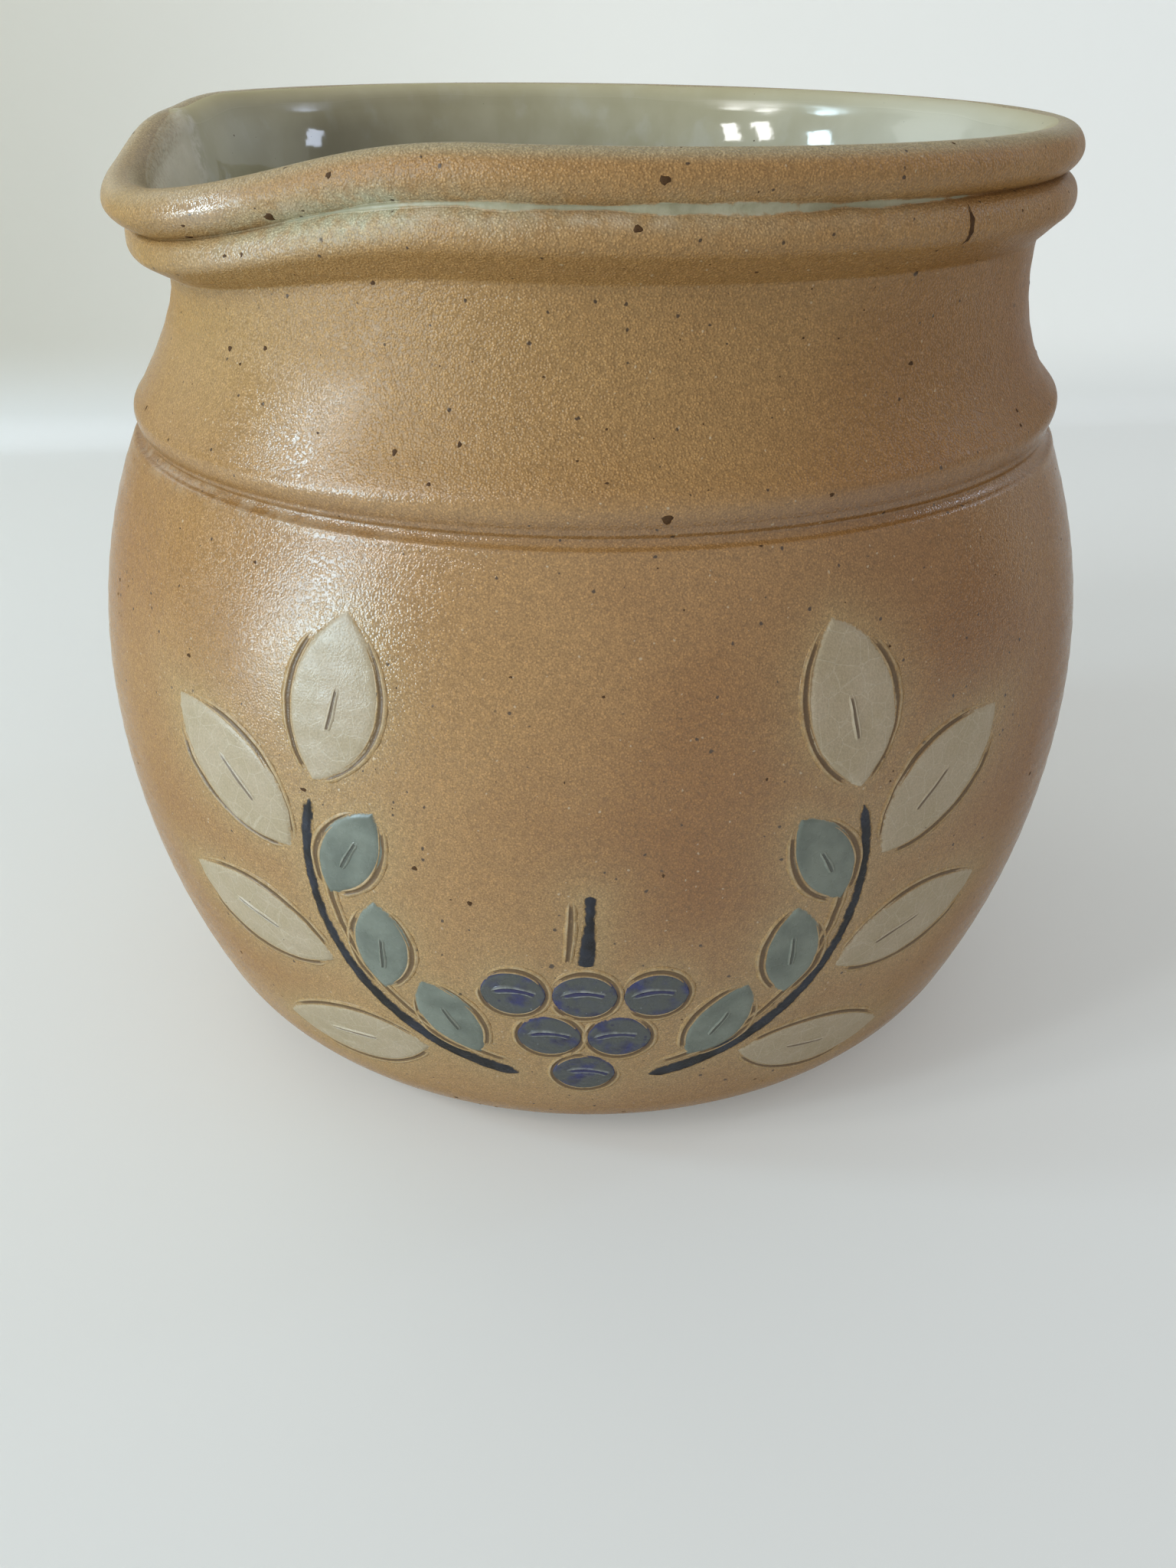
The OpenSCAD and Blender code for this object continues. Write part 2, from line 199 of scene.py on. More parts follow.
# Spout, and what the hand left uneven
spout = {
    "turn": 208.5, "half": 49.5, "dip": 7.7, "reach": 1.2,
    "fromZ": 106.5, "fullZ": pot["height"] - 2 * pot["bead"], "topTurn": 206, "topHalf": 30, "topReach": 2.6,
    "topFrom": pot["height"] - 3 * pot["bead"], "topTo": pot["height"] - pot["bead"],
    "channel": 3.4, "channelHalf": 33.5, "channelShape": 3,
    "pinch": 2.2, "pinchTurn": 29, "pinchHalf": 26, "farPinch": 0.1,
    "knuckleTurn": 181, "knuckleHalf": 11, "knuckle": 0.9,
}
hand = {"lean": 0.7, "leanFrom": 92, "leanTo": 114, "ridgeTilt": 1.3, "tiltSpread": 4.5,
        "twoLobes": 0.14, "lobePhase": 0.6, "threeLobes": 0.09, "lobeTwist": 40,
        "rings": 0.035, "ringPitch": 3.4, "ringsOver": 20}


def easy(t):  # smooth step: 3t2 - 2t3 between 0 and 1
    t = np.clip(t, 0, 1)
    return t * t * (3 - 2 * t)


def ripple(a, rows):  # sum of waves round the axis: height, count and phase of each
    return sum(high * np.sin(count * a + phase) for high, count, phase in rows)


def fullTurn(count):
    return np.linspace(-pi, pi, count + 1)[:-1]


def turnFrom(a, middle):  # how far an azimuth lies from one given in degrees, either way
    return np.abs((a - radians(middle) + pi) % (2 * pi) - pi)


def bellRound(a, middle, half):  # half a cosine wave round a middle azimuth
    turn = turnFrom(a, middle)
    return np.where(turn < radians(half), 0.5 + 0.5 * np.cos(pi * turn / radians(half)), 0)


def scoop(a):  # round-bottomed hollow with a crease along both its edges
    turn = turnFrom(a, spout["turn"]) / radians(spout["channelHalf"])
    return np.clip(1 - turn ** spout["channelShape"], 0, 1)


# Skin of the pot at length s of the section and azimuth a: the section turned about the axis, lowered and
# pulled out at the spout, pinched in on both sides of it, and pushed a little out of round, with the neck
# leaning and the ridge tilting
def skin(s, a):
    r, z, w = (np.interp(s, section["s"], section[key]) for key in "rzw")
    pull = easy((z - spout["fromZ"]) / (spout["fullZ"] - spout["fromZ"]))
    dent = bellRound(a, spout["turn"], spout["half"]) * pull
    top = easy((z - spout["topFrom"]) / (spout["topTo"] - spout["topFrom"]))
    out = spout["reach"] * dent + spout["topReach"] * bellRound(a, spout["topTurn"], spout["topHalf"]) * top
    pinch = sum(deep * bellRound(a, spout["turn"] + side * spout["pinchTurn"], spout["pinchHalf"])
                for side, deep in ((-1, spout["farPinch"]), (1, 1))) * pull
    lobes = [(hand["twoLobes"], 2, hand["lobePhase"]), (hand["threeLobes"], 3, z / hand["lobeTwist"])]
    rings = hand["rings"] * np.sin(2 * pi * z / hand["ringPitch"] + a + np.sin(2 * a))
    uneven = r / pot["belly"] * (ripple(a, lobes) + rings * easy(z / hand["ringsOver"]) * (1 - w))
    r = r + out * (1 - w) + spout["channel"] * scoop(a) * pull * w - spout["pinch"] * pinch + uneven
    x = r * np.cos(a) + hand["lean"] * easy((z - hand["leanFrom"]) / (hand["leanTo"] - hand["leanFrom"]))
    tilt = hand["ridgeTilt"] * bell((z - pot["shoulderZ"]) / hand["tiltSpread"]) * (1 - w)
    rise = spout["knuckle"] * bellRound(a, spout["knuckleTurn"], spout["knuckleHalf"]) * pull
    return np.stack([x, r * np.sin(a), z - spout["dip"] * dent + rise + tilt * x / pot["rim"]], axis=-1)


# The skin moved out along its own normal, which is the cross product of its two slopes
def lifted(s, a, lift):
    s, a, lift = np.broadcast_arrays(s, a, lift)
    step = 0.25
    safe = np.clip(s, 4 * step, section["s"][-1] - 4 * step)
    along = skin(safe + step, a) - skin(safe - step, a)
    around = skin(safe, a + step / pot["belly"]) - skin(safe, a - step / pot["belly"])
    normal = np.cross(around, along)
    normal /= np.linalg.norm(normal, axis=-1, keepdims=True)
    return skin(s, a) + lift[..., None] * normal


climbing = (section["s"] > marks["foot"][0]) & (section["s"] < marks["highBead"][1])


def sectionAt(z):  # length along the outside of the section at a height
    return np.interp(z, section["z"][climbing], section["s"][climbing])


def onFront(x, z, lift):  # a drawing seen from the front, laid on the belly
    s = sectionAt(z)
    r = np.interp(s, section["s"], section["r"])
    return lifted(s, np.arcsin(np.clip(x / r, -1, 1)) - pi / 2, lift)


# Faces of a skin of rings: columns close round, and the ends draw to a point or close on each other
def skinFaces(rings, columns, poles):
    index = np.arange(rings * columns).reshape(rings, columns)
    if not poles:
        index = np.vstack([index, index[:1]])
    turned = np.roll(index, -1, axis=1)
    quads = np.stack([index[:-1], turned[:-1], turned[1:], index[1:]], axis=-1).reshape(-1, 4)
    first = np.stack([np.full(columns, rings * columns), turned[0], index[0]], axis=-1)
    last = np.stack([np.full(columns, rings * columns + 1), index[-1], turned[-1]], axis=-1)
    return quads, np.vstack([first, last]) if poles else np.zeros((0, 3), int)


# One closed skin: with poles, its first and last rows shrink to points. Its volume says which way is out
def closedSkin(points, values, poles=True):
    def flat(array):
        if not poles:
            return array.reshape(-1, *array.shape[2:])
        return np.concatenate([array[1:-1].reshape(-1, *array.shape[2:]), array[[0, -1]].mean(axis=1)])

    quads, fans = skinFaces(len(points) - 2 * poles, points.shape[1], poles)
    verts = flat(points)
    corners = np.vstack([quads[:, :3], quads[:, [0, 2, 3]], fans])
    p, q, t = (verts[corners[:, k]] - verts.mean(axis=0) for k in range(3))
    if np.einsum("ij,ij->", p, np.cross(q, t)) < 0:
        quads, fans = quads[:, ::-1], fans[:, ::-1]
    held = {name: flat(np.broadcast_to(value, points.shape[:2])) for name, value in values.items()}
    return verts, quads, fans, held


# A piece of one or more closed skins, with their values as attributes of its points
def makePiece(name, skins, material, slot, *nodes):
    verts, faces, start = [], [], 0
    for points, quads, fans, _ in skins:
        verts.append(points)
        faces += (quads + start).tolist() + (fans + start).tolist()
        start += len(points)
    verts = np.vstack(verts)
    mesh = bpy.data.meshes.new(name)
    mesh.from_pydata(verts * mm, [], faces)
    mesh.polygons.foreach_set("use_smooth", np.ones(len(mesh.polygons), bool))
    values = {key: np.concatenate([held[key] for *_, held in skins]) for key in skins[0][3]}
    for key, value in {**values, **firedTones(verts)}.items():
        mesh.attributes.new(key, "FLOAT", "POINT").data.foreach_set("value", value.astype(np.float32))
    mesh.materials.append(material)
    piece = bpy.data.objects.new(name, mesh)
    scene.collection.objects.link(piece)
    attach(piece, "root")
    if nodes:
        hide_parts(*nodes)
    print(name, "made,", len(faces), "faces")


# Where the kiln coloured the clay: bells of azimuth, height, their two spreads and strength
fired = {
    "toast": [
        (-125, 130, 28, 4, 0.4), (-155, 78, 18, 20, 0.5), (-58, 74, 34, 30, 0.75), (-8, 70, 24, 45, 0.6),
        (-35, 110, 40, 16, 0.4), (-150, 40, 26, 22, 0.4), (-78, 50, 13, 18, 0.4), (40, 60, 50, 40, 0.6),
        (130, 80, 40, 30, 0.5),
    ],
    "rose": [
        (-22, 40, 16, 26, 0.9), (-18, 108, 22, 14, 0.8), (-12, 128, 20, 8, 0.6), (-160, 30, 18, 18, 0.4),
        (75, 50, 30, 30, 0.6),
    ],
}
pale = [(-142, 112, 26, 18, 0.55), (-85, 111, 45, 13, 0.3), (-150, 127, 22, 9, 0.15), (-165, 70, 20, 25, 0.1)]
crusts = [
    (-135, 92.2, 30, 1.0, 0.3), (60, 92.2, 95, 1.0, 0.2), (-98, 126.9, 16, 0.7, 0.6),
    (-130, 126.2, 12, 0.7, 0.4),
]
wetRuns = [(-135, 2.9, 4.5, 1.8, 1.2), (-131, 7.8, 8, 2.2, 0.45)]  # these by depth under the crest
haloSpread = 3.5  # how far the slips' pale breath reaches
fold = {"z": 94.2, "spread": 1.5,  # painted shade, brown, under the ridge, and under the beads
        "under": 12.4, "underSpread": 1.4, "underShare": 0.25}
breath = {  # of the groove's glaze: azimuth, spread and strength of each, and where it lies under the groove
    "runs": [(-113, 5, 1.2), (-121, 8, 0.9), (-131, 8, 0.4), (-101, 8, 0.6), (-80, 13, 0.35), (-60, 9, 0.2),
             (70, 60, 0.4)],
    "drop": 0.4, "spread": 2.3,
}
dry = {  # where little vapour came
    "neckFrom": 104, "neckOver": 7, "ridge": 96, "ridgeOver": 4, "beads": 13, "beadsOver": 3,
    "front": 122, "beadFront": 158, "over": 12, "until": 60, "patches": [(-131, 77, 7, 13, 0.8)],
}
crest = {  # how far the liner's breath comes over the rim, and down the inside of the spout
    "depth": 1.6, "spoutLoss": 0.45, "inside": 0.95, "insideDepth": 5, "insideOver": 3,
    "lipPast": 1, "lipOver": 2.5, "lipColumns": 720,
}


def alongRim(a, rows):  # sum of bells round the rim
    return sum(deep * bell(turnFrom(a, at) / radians(wide)) for at, wide, deep in rows)


def overPot(a, z, rows, power=2):  # sum of bells over azimuth and height
    return sum(
        deep * np.exp(-((turnFrom(a, at) / radians(wide)) ** power) - ((z - high) / tall) ** 2)
        for at, high, wide, tall, deep in rows
    )


def dryness(a, z, down):  # under the rim and over the front of neck and beads the skin stays matte
    turn = np.degrees(a)
    onBeads = easy((dry["beads"] - down) / dry["beadsOver"])
    front = dry["front"] + (dry["beadFront"] - dry["front"]) * onBeads
    facing = easy((turn + front) / dry["over"]) * easy((dry["until"] - turn) / dry["until"])
    facing = facing * easy((z - dry["ridge"]) / dry["ridgeOver"])
    sheltered = easy((z - dry["neckFrom"]) / dry["neckOver"]) * (1 - onBeads)
    return np.maximum(np.maximum(facing, sheltered), overPot(a, z, dry["patches"]))


def crestTone(a, r, down, inSpout):  # the stronger of the crest's own tone and that inside the spout's lip
    lipTurn = np.linspace(-pi, pi, crest["lipColumns"] + 1)
    lip = skin(np.full(len(lipTurn), marks["lip"][0]), lipTurn)
    lipR = np.interp(a, lipTurn, np.hypot(lip[:, 0], lip[:, 1]))
    outer = easy(1 - down / crest["depth"] / (1 + inSpout)) * (1 - crest["spoutLoss"] * inSpout)
    inner = crest["inside"] * inSpout * easy((crest["insideDepth"] - down) / crest["insideOver"])
    return np.maximum(outer, inner * easy((lipR + crest["lipPast"] - r) / crest["lipOver"]))


def haloTone(x, y, z):  # on the front, falling off with the distance from the nearest painted point
    near = (y < 0) & (z < pot["shoulderZ"])
    gap = np.full(near.sum(), np.inf)
    for slipX, slipZ in slipPoints:
        gap = np.minimum(gap, (x[near] - slipX) ** 2 + (z[near] - slipZ) ** 2)
    halo = np.zeros(len(x))
    halo[near] = np.exp(-np.sqrt(gap) / haloSpread)
    return halo


def firedTones(points):  # what the kiln left at any point of the pot, and painted shade under ridge and beads
    x, y, z = points.T
    a = np.arctan2(y, x)
    inSpout = bellRound(a, spout["turn"], spout["half"])
    down = pot["height"] - spout["dip"] * inSpout - z
    underRidge = bell((z - hand["ridgeTilt"] * x / pot["rim"] - fold["z"]) / fold["spread"])
    underBeads = bell((down - fold["under"]) / fold["underSpread"])
    byGroove = bell((down - 2 * pot["bead"] - breath["drop"]) / breath["spread"])
    return {
        "crest": crestTone(a, np.hypot(x, y), down, inSpout),
        "breath": alongRim(a, breath["runs"]) * byGroove,
        "fold": underRidge + fold["underShare"] * underBeads,
        "dry": dryness(a, z, down),
        "run": overPot(a, down, wetRuns),
        "salt": overPot(a, z, crusts, 4),
        "halo": haloTone(x, y, z) + overPot(a, z, pale),
        **{name: overPot(a, z, rows) for name, rows in fired.items()},
    }


# The nodes of one material or group, the points that they colour, and the tone made by the coats laid so far
class nodePaint:
    def __init__(self, tree):
        self.tree = tree
        self.place = self.add("TexCoord").outputs["Object"]
        self.dull = 0.0

    def fill(self, node, inputs):  # a word stands for the value of that name that a piece holds at its points
        for name, value in inputs.items():
            if isinstance(value, str):
                value = self.add("Attribute", attribute_name=value).outputs["Fac"]
            if isinstance(value, bpy.types.NodeSocket):
                self.tree.links.new(value, node.inputs[name])
            else:
                node.inputs[name].default_value = value

    def add(self, kind, inputs=None, **fields):
        node = self.tree.nodes.new("ShaderNode" + kind)
        for name, value in fields.items():
            setattr(node, name, value)
        self.fill(node, inputs or {})
        return node

    def maths(self, operation, first, second, clamp=False):
        return self.add("Math", {0: first, 1: second}, operation=operation, use_clamp=clamp).outputs[0]

    def plus(self, first, second, clamp=False):
        return self.maths("ADD", first, second, clamp)

    def minus(self, first, second, clamp=False):
        return self.maths("SUBTRACT", first, second, clamp)

    def times(self, first, second):
        return self.maths("MULTIPLY", first, second)

    def spread(self, value, low, high, toLow=0.0, toHigh=1.0):  # smooth step between two values
        inputs = {"Value": value, "From Min": low, "From Max": high, "To Min": toLow, "To Max": toHigh}
        return self.add("MapRange", inputs, interpolation_type="SMOOTHSTEP").outputs["Result"]

    def mix(self, share, first, second):
        return self.add("Mix", {0: share, 2: first, 3: second}).outputs[0]

    def blend(self, share, first, second, kind="MIX"):
        return self.add("Mix", {0: share, 6: first, 7: second}, data_type="RGBA", blend_type=kind).outputs[2]

    def coat(self, share, colour, strength=None):  # one more colour over the tone
        share = share if strength is None else self.times(share, strength)
        self.tone = self.blend(share, self.tone, colour)

    def shade(self, grey):  # the tone times a grey
        grey = self.add("CombineColor", {0: grey, 1: grey, 2: grey}).outputs[0]
        self.tone = self.blend(1.0, self.tone, grey, "MULTIPLY")

    def pattern(self, kind, size, place=None, inputs=None, **fields):  # size of its grain in millimetres
        start = {"Vector": self.place if place is None else place, "Scale": 1 / (size * mm)}
        return self.add("Tex" + kind, {**start, **(inputs or {})}, **fields).outputs

    def noise(self, size, detail=2.0, rough=0.5, place=None):
        return self.pattern("Noise", size, place, {"Detail": detail, "Roughness": rough})["Fac"]

    def clouds(self, size, detail, toLow=0.0, toHigh=1.0, edges=(0.3, 0.7), rough=0.5):  # between two values
        return self.spread(self.noise(size, detail, rough), *edges, toLow, toHigh)

    def spots(self, cell, radius, share, place=None):  # one in each chosen cell, each of its own size
        cells = self.pattern("Voronoi", cell, place)
        luck = self.add("SeparateColor", {"Color": cells["Color"]}).outputs
        size = self.spread(luck[1], 0, 1, 0.35 * radius / cell, radius / cell)
        inside = self.spread(self.maths("DIVIDE", cells["Distance"], size), 1.0, 0.6)
        return self.times(inside, self.maths("LESS_THAN", luck[0], share))


# Salt-glazed clay: ochre toasted and blushed by the fire, with grain, iron specks, pale grog and orange peel
# Painted shade lies brown under the ridge and under the beads
clay = {
    "ochre": (0.44, 0.24, 0.083, 1), "toasted": (0.30, 0.125, 0.027, 1), "rose": (0.36, 0.185, 0.09, 1),
    "halo": (0.46, 0.31, 0.13, 1), "iron": (0.05, 0.028, 0.015, 1), "grog": (0.66, 0.52, 0.34, 1),
    "salt": (0.57, 0.46, 0.32, 1), "crest": (0.45, 0.39, 0.24, 1), "breath": (0.52, 0.47, 0.31, 1),
    "fold": (0.27, 0.135, 0.05, 1),
}
peelDepth = 0.045  # millimetres of orange peel
clayTones = ["Toast", "Rose", "Halo", "Salt", "Crest", "Breath", "Fold", "Dry", "Run"]
clayParts = {"Color": "Color", "Roughness": "Float", "Height": "Float"}


def makeClayGroup():
    group = bpy.data.node_groups.new("saltGlazedClay", "ShaderNodeTree")
    for label in clayTones:
        group.interface.new_socket(label, in_out="INPUT", socket_type="NodeSocketFloat")
    for label, kind in clayParts.items():
        group.interface.new_socket(label, in_out="OUTPUT", socket_type="NodeSocket" + kind)
    given = group.nodes.new("NodeGroupInput").outputs
    paint = nodePaint(group)
    drift = paint.clouds(34, 3, -0.25, 0.25)
    paint.tone = paint.blend(paint.plus(given["Toast"], drift, True), clay["ochre"], clay["toasted"])
    # the last of these coats is painted shade under the ridge and under the beads
    coats = {"Rose": paint.clouds(26, 3, edges=(0.3, 0.65)), "Halo": 0.75, "Crest": 0.8,
             "Breath": paint.clouds(2.2, 4, 0.3, 1, (0.3, 0.65), 0.6), "Fold": 0.55}
    for label, strength in coats.items():
        paint.coat(given[label], clay[label.lower()], strength)
    dome = paint.spread(paint.pattern("Voronoi", 0.32)["Distance"], 0, 0.75, 1, 0)
    grain = paint.noise(0.2, 1.5, 0.6)
    mottle = paint.noise(0.9)
    sand = paint.spread(grain, 0.25, 0.75, 0.75, 1.25)
    uneven = paint.times(sand, paint.spread(mottle, 0.25, 0.75, 0.92, 1.08))
    # paler on the domes and darker in the pits between: the clay's grain together with painted shade of the
    # peel's relief
    paint.shade(paint.times(paint.spread(dome, 0, 1, 0.83, 1.12), uneven))
    waver = paint.pattern("Noise", 0.7)["Color"]
    shift = paint.add("VectorMath", {0: waver, "Scale": 0.5 * mm}, operation="SCALE").outputs[0]
    warped = paint.add("VectorMath", {0: paint.place, 1: shift}, operation="ADD").outputs[0]
    iron = paint.maths("MAXIMUM", paint.spots(1.8, 0.3, 0.35, warped), paint.spots(6, 0.5, 0.35, warped))
    grog = paint.spots(1.2, 0.2, 0.45, warped)
    paint.coat(grog, clay["grog"], 0.55)
    paint.coat(given["Salt"], clay["salt"], paint.clouds(3, 4, edges=(0.42, 0.66), rough=0.6))
    paint.coat(iron, clay["iron"], 0.9)
    sandy = paint.minus(given["Dry"], given["Run"], True)
    swell = paint.plus(paint.times(dome, 0.6), paint.times(mottle, 1.2))
    peel = paint.times(paint.plus(swell, paint.times(grain, 0.3)), paint.spread(sandy, 0, 1, 1, 2.3))
    rough = paint.plus(paint.clouds(6, 3, 0.16, 0.22), paint.times(sandy, 0.12))
    height = paint.plus(peel, paint.times(grog, 0.4))
    output = group.nodes.new("NodeGroupOutput")
    paint.fill(output, {"Color": paint.tone, "Roughness": rough, "Height": height})
    return group


clayGroup = makeClayGroup()


def startMaterial(name):
    material = bpy.data.materials.new(name)
    material.use_nodes = True
    return material, nodePaint(material.node_tree), material.node_tree.nodes["Principled BSDF"]


# A material over the clay: lay adds its tones and says its roughness, height and depth in millimetres.
# Shine falls off at a slant, where the bumps of the skin hide each other
def makeMaterial(name, lay, shine=0.9):
    material, paint, shader = startMaterial(name)
    surface = paint.add("Group", {label: label.lower() for label in clayTones}, node_tree=clayGroup).outputs
    paint.tone = surface["Color"]
    rough, height, depth = lay(paint, surface)
    facing = paint.add("LayerWeight", {"Blend": 0.5}).outputs["Facing"]
    slanted = paint.spread(facing, 0.25, 0.75, shine, 0.05 * shine)
    level = paint.times(slanted, paint.minus(1, paint.times(paint.dull, 0.55)))
    relief = paint.add("Bump", {"Height": height, "Strength": 1.0, "Distance": depth * mm}).outputs[0]
    shader.inputs["Specular IOR Level"].default_value = shine
    paint.fill(shader, {"Base Color": paint.tone, "Roughness": rough, "Specular IOR Level": level,
                        "Normal": relief})
    return material


def layClay(paint, surface):  # matte where it stayed dry, with full gloss where glaze ran over it
    paint.dull = paint.minus("dry", paint.times("run", 3.4))
    return surface["Roughness"], surface["Height"], peelDepth


# Slip over clay: cover says how far inside the painted edge a point lies, line and burr where it is cut
def slipOver(laySlip, tones, coverEdge):
    def lay(paint, surface):
        gloss, height, depth = laySlip(paint, surface)
        # painted highlight on the edges of the cuts, and painted shade with glaze along their bottoms
        paint.coat("burr", tones["burr"], paint.clouds(0.8, 3, 0.3, 1))
        paint.coat("line", tones["cut"])
        ragged = paint.clouds(0.9, 3, -0.3, 0.3, (0.2, 0.8), 0.6)
        cover = paint.spread(paint.plus("cover", ragged), *coverEdge)
        paint.tone = paint.blend(cover, surface["Color"], paint.tone)
        rough = paint.mix(cover, surface["Roughness"], gloss)
        return rough, paint.mix(cover, surface["Height"], height), depth

    return lay


# cut: painted shade with glaze in the cut lines; burr: painted highlight on their edges
cream = {"pale": (0.475, 0.38, 0.255, 1), "warm": (0.43, 0.34, 0.21, 1), "line": (0.58, 0.50, 0.36, 1),
         "chalk": (0.59, 0.51, 0.375, 1), "cut": (0.17, 0.115, 0.065, 1), "burr": (0.60, 0.52, 0.38, 1)}


def layCream(paint, surface):  # cream with a net of fine crackle lines and chalky clouds
    paint.tone = paint.blend(paint.clouds(7, 3), cream["warm"], cream["pale"])
    paint.coat(paint.clouds(2.2, 4, 0, 0.3, (0.56, 0.75)), cream["chalk"])
    crack = paint.spread(paint.pattern("Voronoi", 2.8, feature="DISTANCE_TO_EDGE")["Distance"], 0.03, 0.01)
    paint.coat(crack, cream["line"], 0.4)
    paint.coat(paint.spots(2.4, 0.2, 0.25), clay["iron"])
    paint.shade(paint.clouds(0.25, 2, 0.88, 1.1, (0.25, 0.75), 0.6))
    height = paint.minus(paint.times(surface["Height"], 0.6), paint.times(crack, 0.15))
    return paint.clouds(3, 2, 0.28, 0.4), height, peelDepth


# cut: painted shade with glaze in the cut lines; burr: painted highlight on their edges
celadon = {"deep": (0.132, 0.152, 0.122, 1), "light": (0.21, 0.235, 0.19, 1), "edge": (0.265, 0.255, 0.19, 1),
           "cut": (0.085, 0.092, 0.072, 1), "burr": (0.31, 0.315, 0.25, 1)}


def layCeladon(paint, surface):  # grey-green glaze, paler where it lies thin
    paint.tone = paint.blend(paint.clouds(5, 3), celadon["deep"], celadon["light"])
    paint.coat(paint.spread("cover", 0.6, 0.2, 0, 0.5), celadon["edge"])
    return paint.clouds(2, 2, 0.2, 0.34), paint.noise(1.1), 0.07


# cut: painted shade with glaze in the cut lines; burr: painted highlight on their edges
cobalt = {"ink": (0.012, 0.012, 0.05, 1), "blue": (0.016, 0.022, 0.13, 1), "olive": (0.074, 0.082, 0.064, 1),
          "salt": (0.42, 0.45, 0.50, 1), "cut": (0.012, 0.012, 0.085, 1), "burr": (0.36, 0.37, 0.34, 1)}


def layCobalt(paint, surface):  # ink-blue edges, a smoky middle, salt flecks
    bloom = paint.clouds(1.6, 4, edges=(0.35, 0.65), rough=0.65)
    paint.tone = paint.blend(bloom, cobalt["ink"], cobalt["blue"])
    smoke = paint.times(paint.spread("cover", 0.35, 1.0), paint.clouds(3.4, 3, edges=(0.3, 0.52)))
    paint.coat(smoke, cobalt["olive"], 0.85)
    paint.coat(paint.spots(1.1, 0.3, 0.3), cobalt["ink"], 0.8)
    paint.coat(paint.spots(0.9, 0.12, 0.35), cobalt["salt"], 0.6)
    return paint.clouds(1.5, 2, 0.14, 0.3), paint.noise(0.7), 0.09


ink = {"cut": (0.016, 0.015, 0.014, 1), "burr": (0.07, 0.05, 0.035, 1), "blue": (0.03, 0.033, 0.045, 1)}


def layInk(paint, surface):  # brushed iron slip, thin and brown where the brush ran dry
    paint.tone = paint.blend(paint.clouds(4, 3, edges=(0.35, 0.65)), ink["cut"], ink["blue"])
    paint.coat(paint.spread("cover", 0.75, 0.25), ink["burr"])
    return paint.clouds(1.5, 2, 0.25, 0.45), paint.noise(0.6), 0.08


# core: painted shade of the groove over the glaze in its bottom; burr: painted highlight on its edges
stroke = {"core": (0.115, 0.068, 0.032, 1), "burr": (0.58, 0.46, 0.29, 1)}


def layStroke(paint, surface):  # cut line: dark with glaze in its bottom and painted shade, with a painted highlight on the pushed-up edges
    paint.coat("burr", stroke["burr"], paint.clouds(1.4, 3, 0.15, 0.75))
    paint.coat("line", stroke["core"], 0.85)
    return paint.plus(surface["Roughness"], 0.15), surface["Height"], 0.03


# milk is the glaze's milky streaks, and painted light on the inside right wall
liner = {"green": (0.37, 0.345, 0.225, 1), "grey": (0.49, 0.47, 0.34, 1), "milk": (0.59, 0.61, 0.56, 1),
         # the channel tone is pale dry glaze in the spout's hollow, made paler still as painted light
         "edge": (0.56, 0.495, 0.285, 1), "channel": (0.80, 0.75, 0.61, 1), "crease": (0.72, 0.68, 0.57, 1),
         # the dark tone is painted shade on the inside wall at the back left
         "pit": (0.13, 0.115, 0.07, 1), "stretch": (1, 1, 0.7)}


def layLiner(paint, surface):  # gloss glaze, milky in streaks, warm where it thins out under the rim
    stretched = paint.add("Mapping", {"Vector": paint.place, "Scale": liner["stretch"]}).outputs[0]
    broad, streaks = (paint.noise(size, 4, place=stretched) for size in (12, 5))
    paint.tone = paint.blend(paint.spread(broad, 0.3, 0.7), liner["green"], liner["grey"])
    paint.coat(paint.spread(streaks, 0.52, 0.75, 0, 0.35), liner["milk"])
    broken = {"channel": paint.clouds(2.4, 4, 0.75, 1, rough=0.6),
              "crease": paint.clouds(1.6, 4, edges=(0.35, 0.6), rough=0.65)}
    for name in ("milk", "edge", "pit", "channel", "crease"):
        paint.coat(name, liner[name], broken.get(name))
    paint.coat(paint.spots(2.2, 0.2, 0.3), clay["iron"])
    ragged = paint.clouds(0.5, 3, -0.14, 0.14, (0.2, 0.8))
    paint.coat(paint.spread(paint.plus("thin", ragged), 0.35, 1.0), surface["Color"])
    bare = paint.maths("MAXIMUM", "edge", "channel")
    return paint.spread(bare, 0.2, 0.6, 0.06, 0.5), paint.noise(3.5), 0.03


pool = {"glaze": (0.37, 0.345, 0.22, 1), "milk": (0.46, 0.43, 0.295, 1), "crust": (0.62, 0.55, 0.41, 1)}


def layPool(paint, surface):  # glaze that ran into the rim's groove, crusted along its edges
    paint.tone = paint.blend(paint.clouds(3, 4, edges=(0.35, 0.65)), pool["glaze"], pool["milk"])
    paint.coat("crust", pool["crust"], paint.clouds(5, 3, edges=(0.45, 0.6)))
    ragged = paint.clouds(2.4, 4, -0.6, 0.6, (0.2, 0.8), 0.65)
    patch = paint.spread(paint.plus("cover", ragged), 0.25, 0.75)
    paint.tone = paint.blend(patch, surface["Color"], paint.tone)
    return paint.clouds(2, 2, 0.35, 0.5), paint.noise(0.9, 3), 0.12


speck = {"black": (0.045, 0.022, 0.01, 1), "rust": (0.13, 0.068, 0.03, 1)}


def laySpeck(paint, surface):  # iron that melted out of the clay
    paint.tone = paint.blend(paint.noise(0.4), speck["black"], speck["rust"])
    return paint.clouds(0.5, 2, 0.4, 0.6), paint.noise(0.3), 0.06


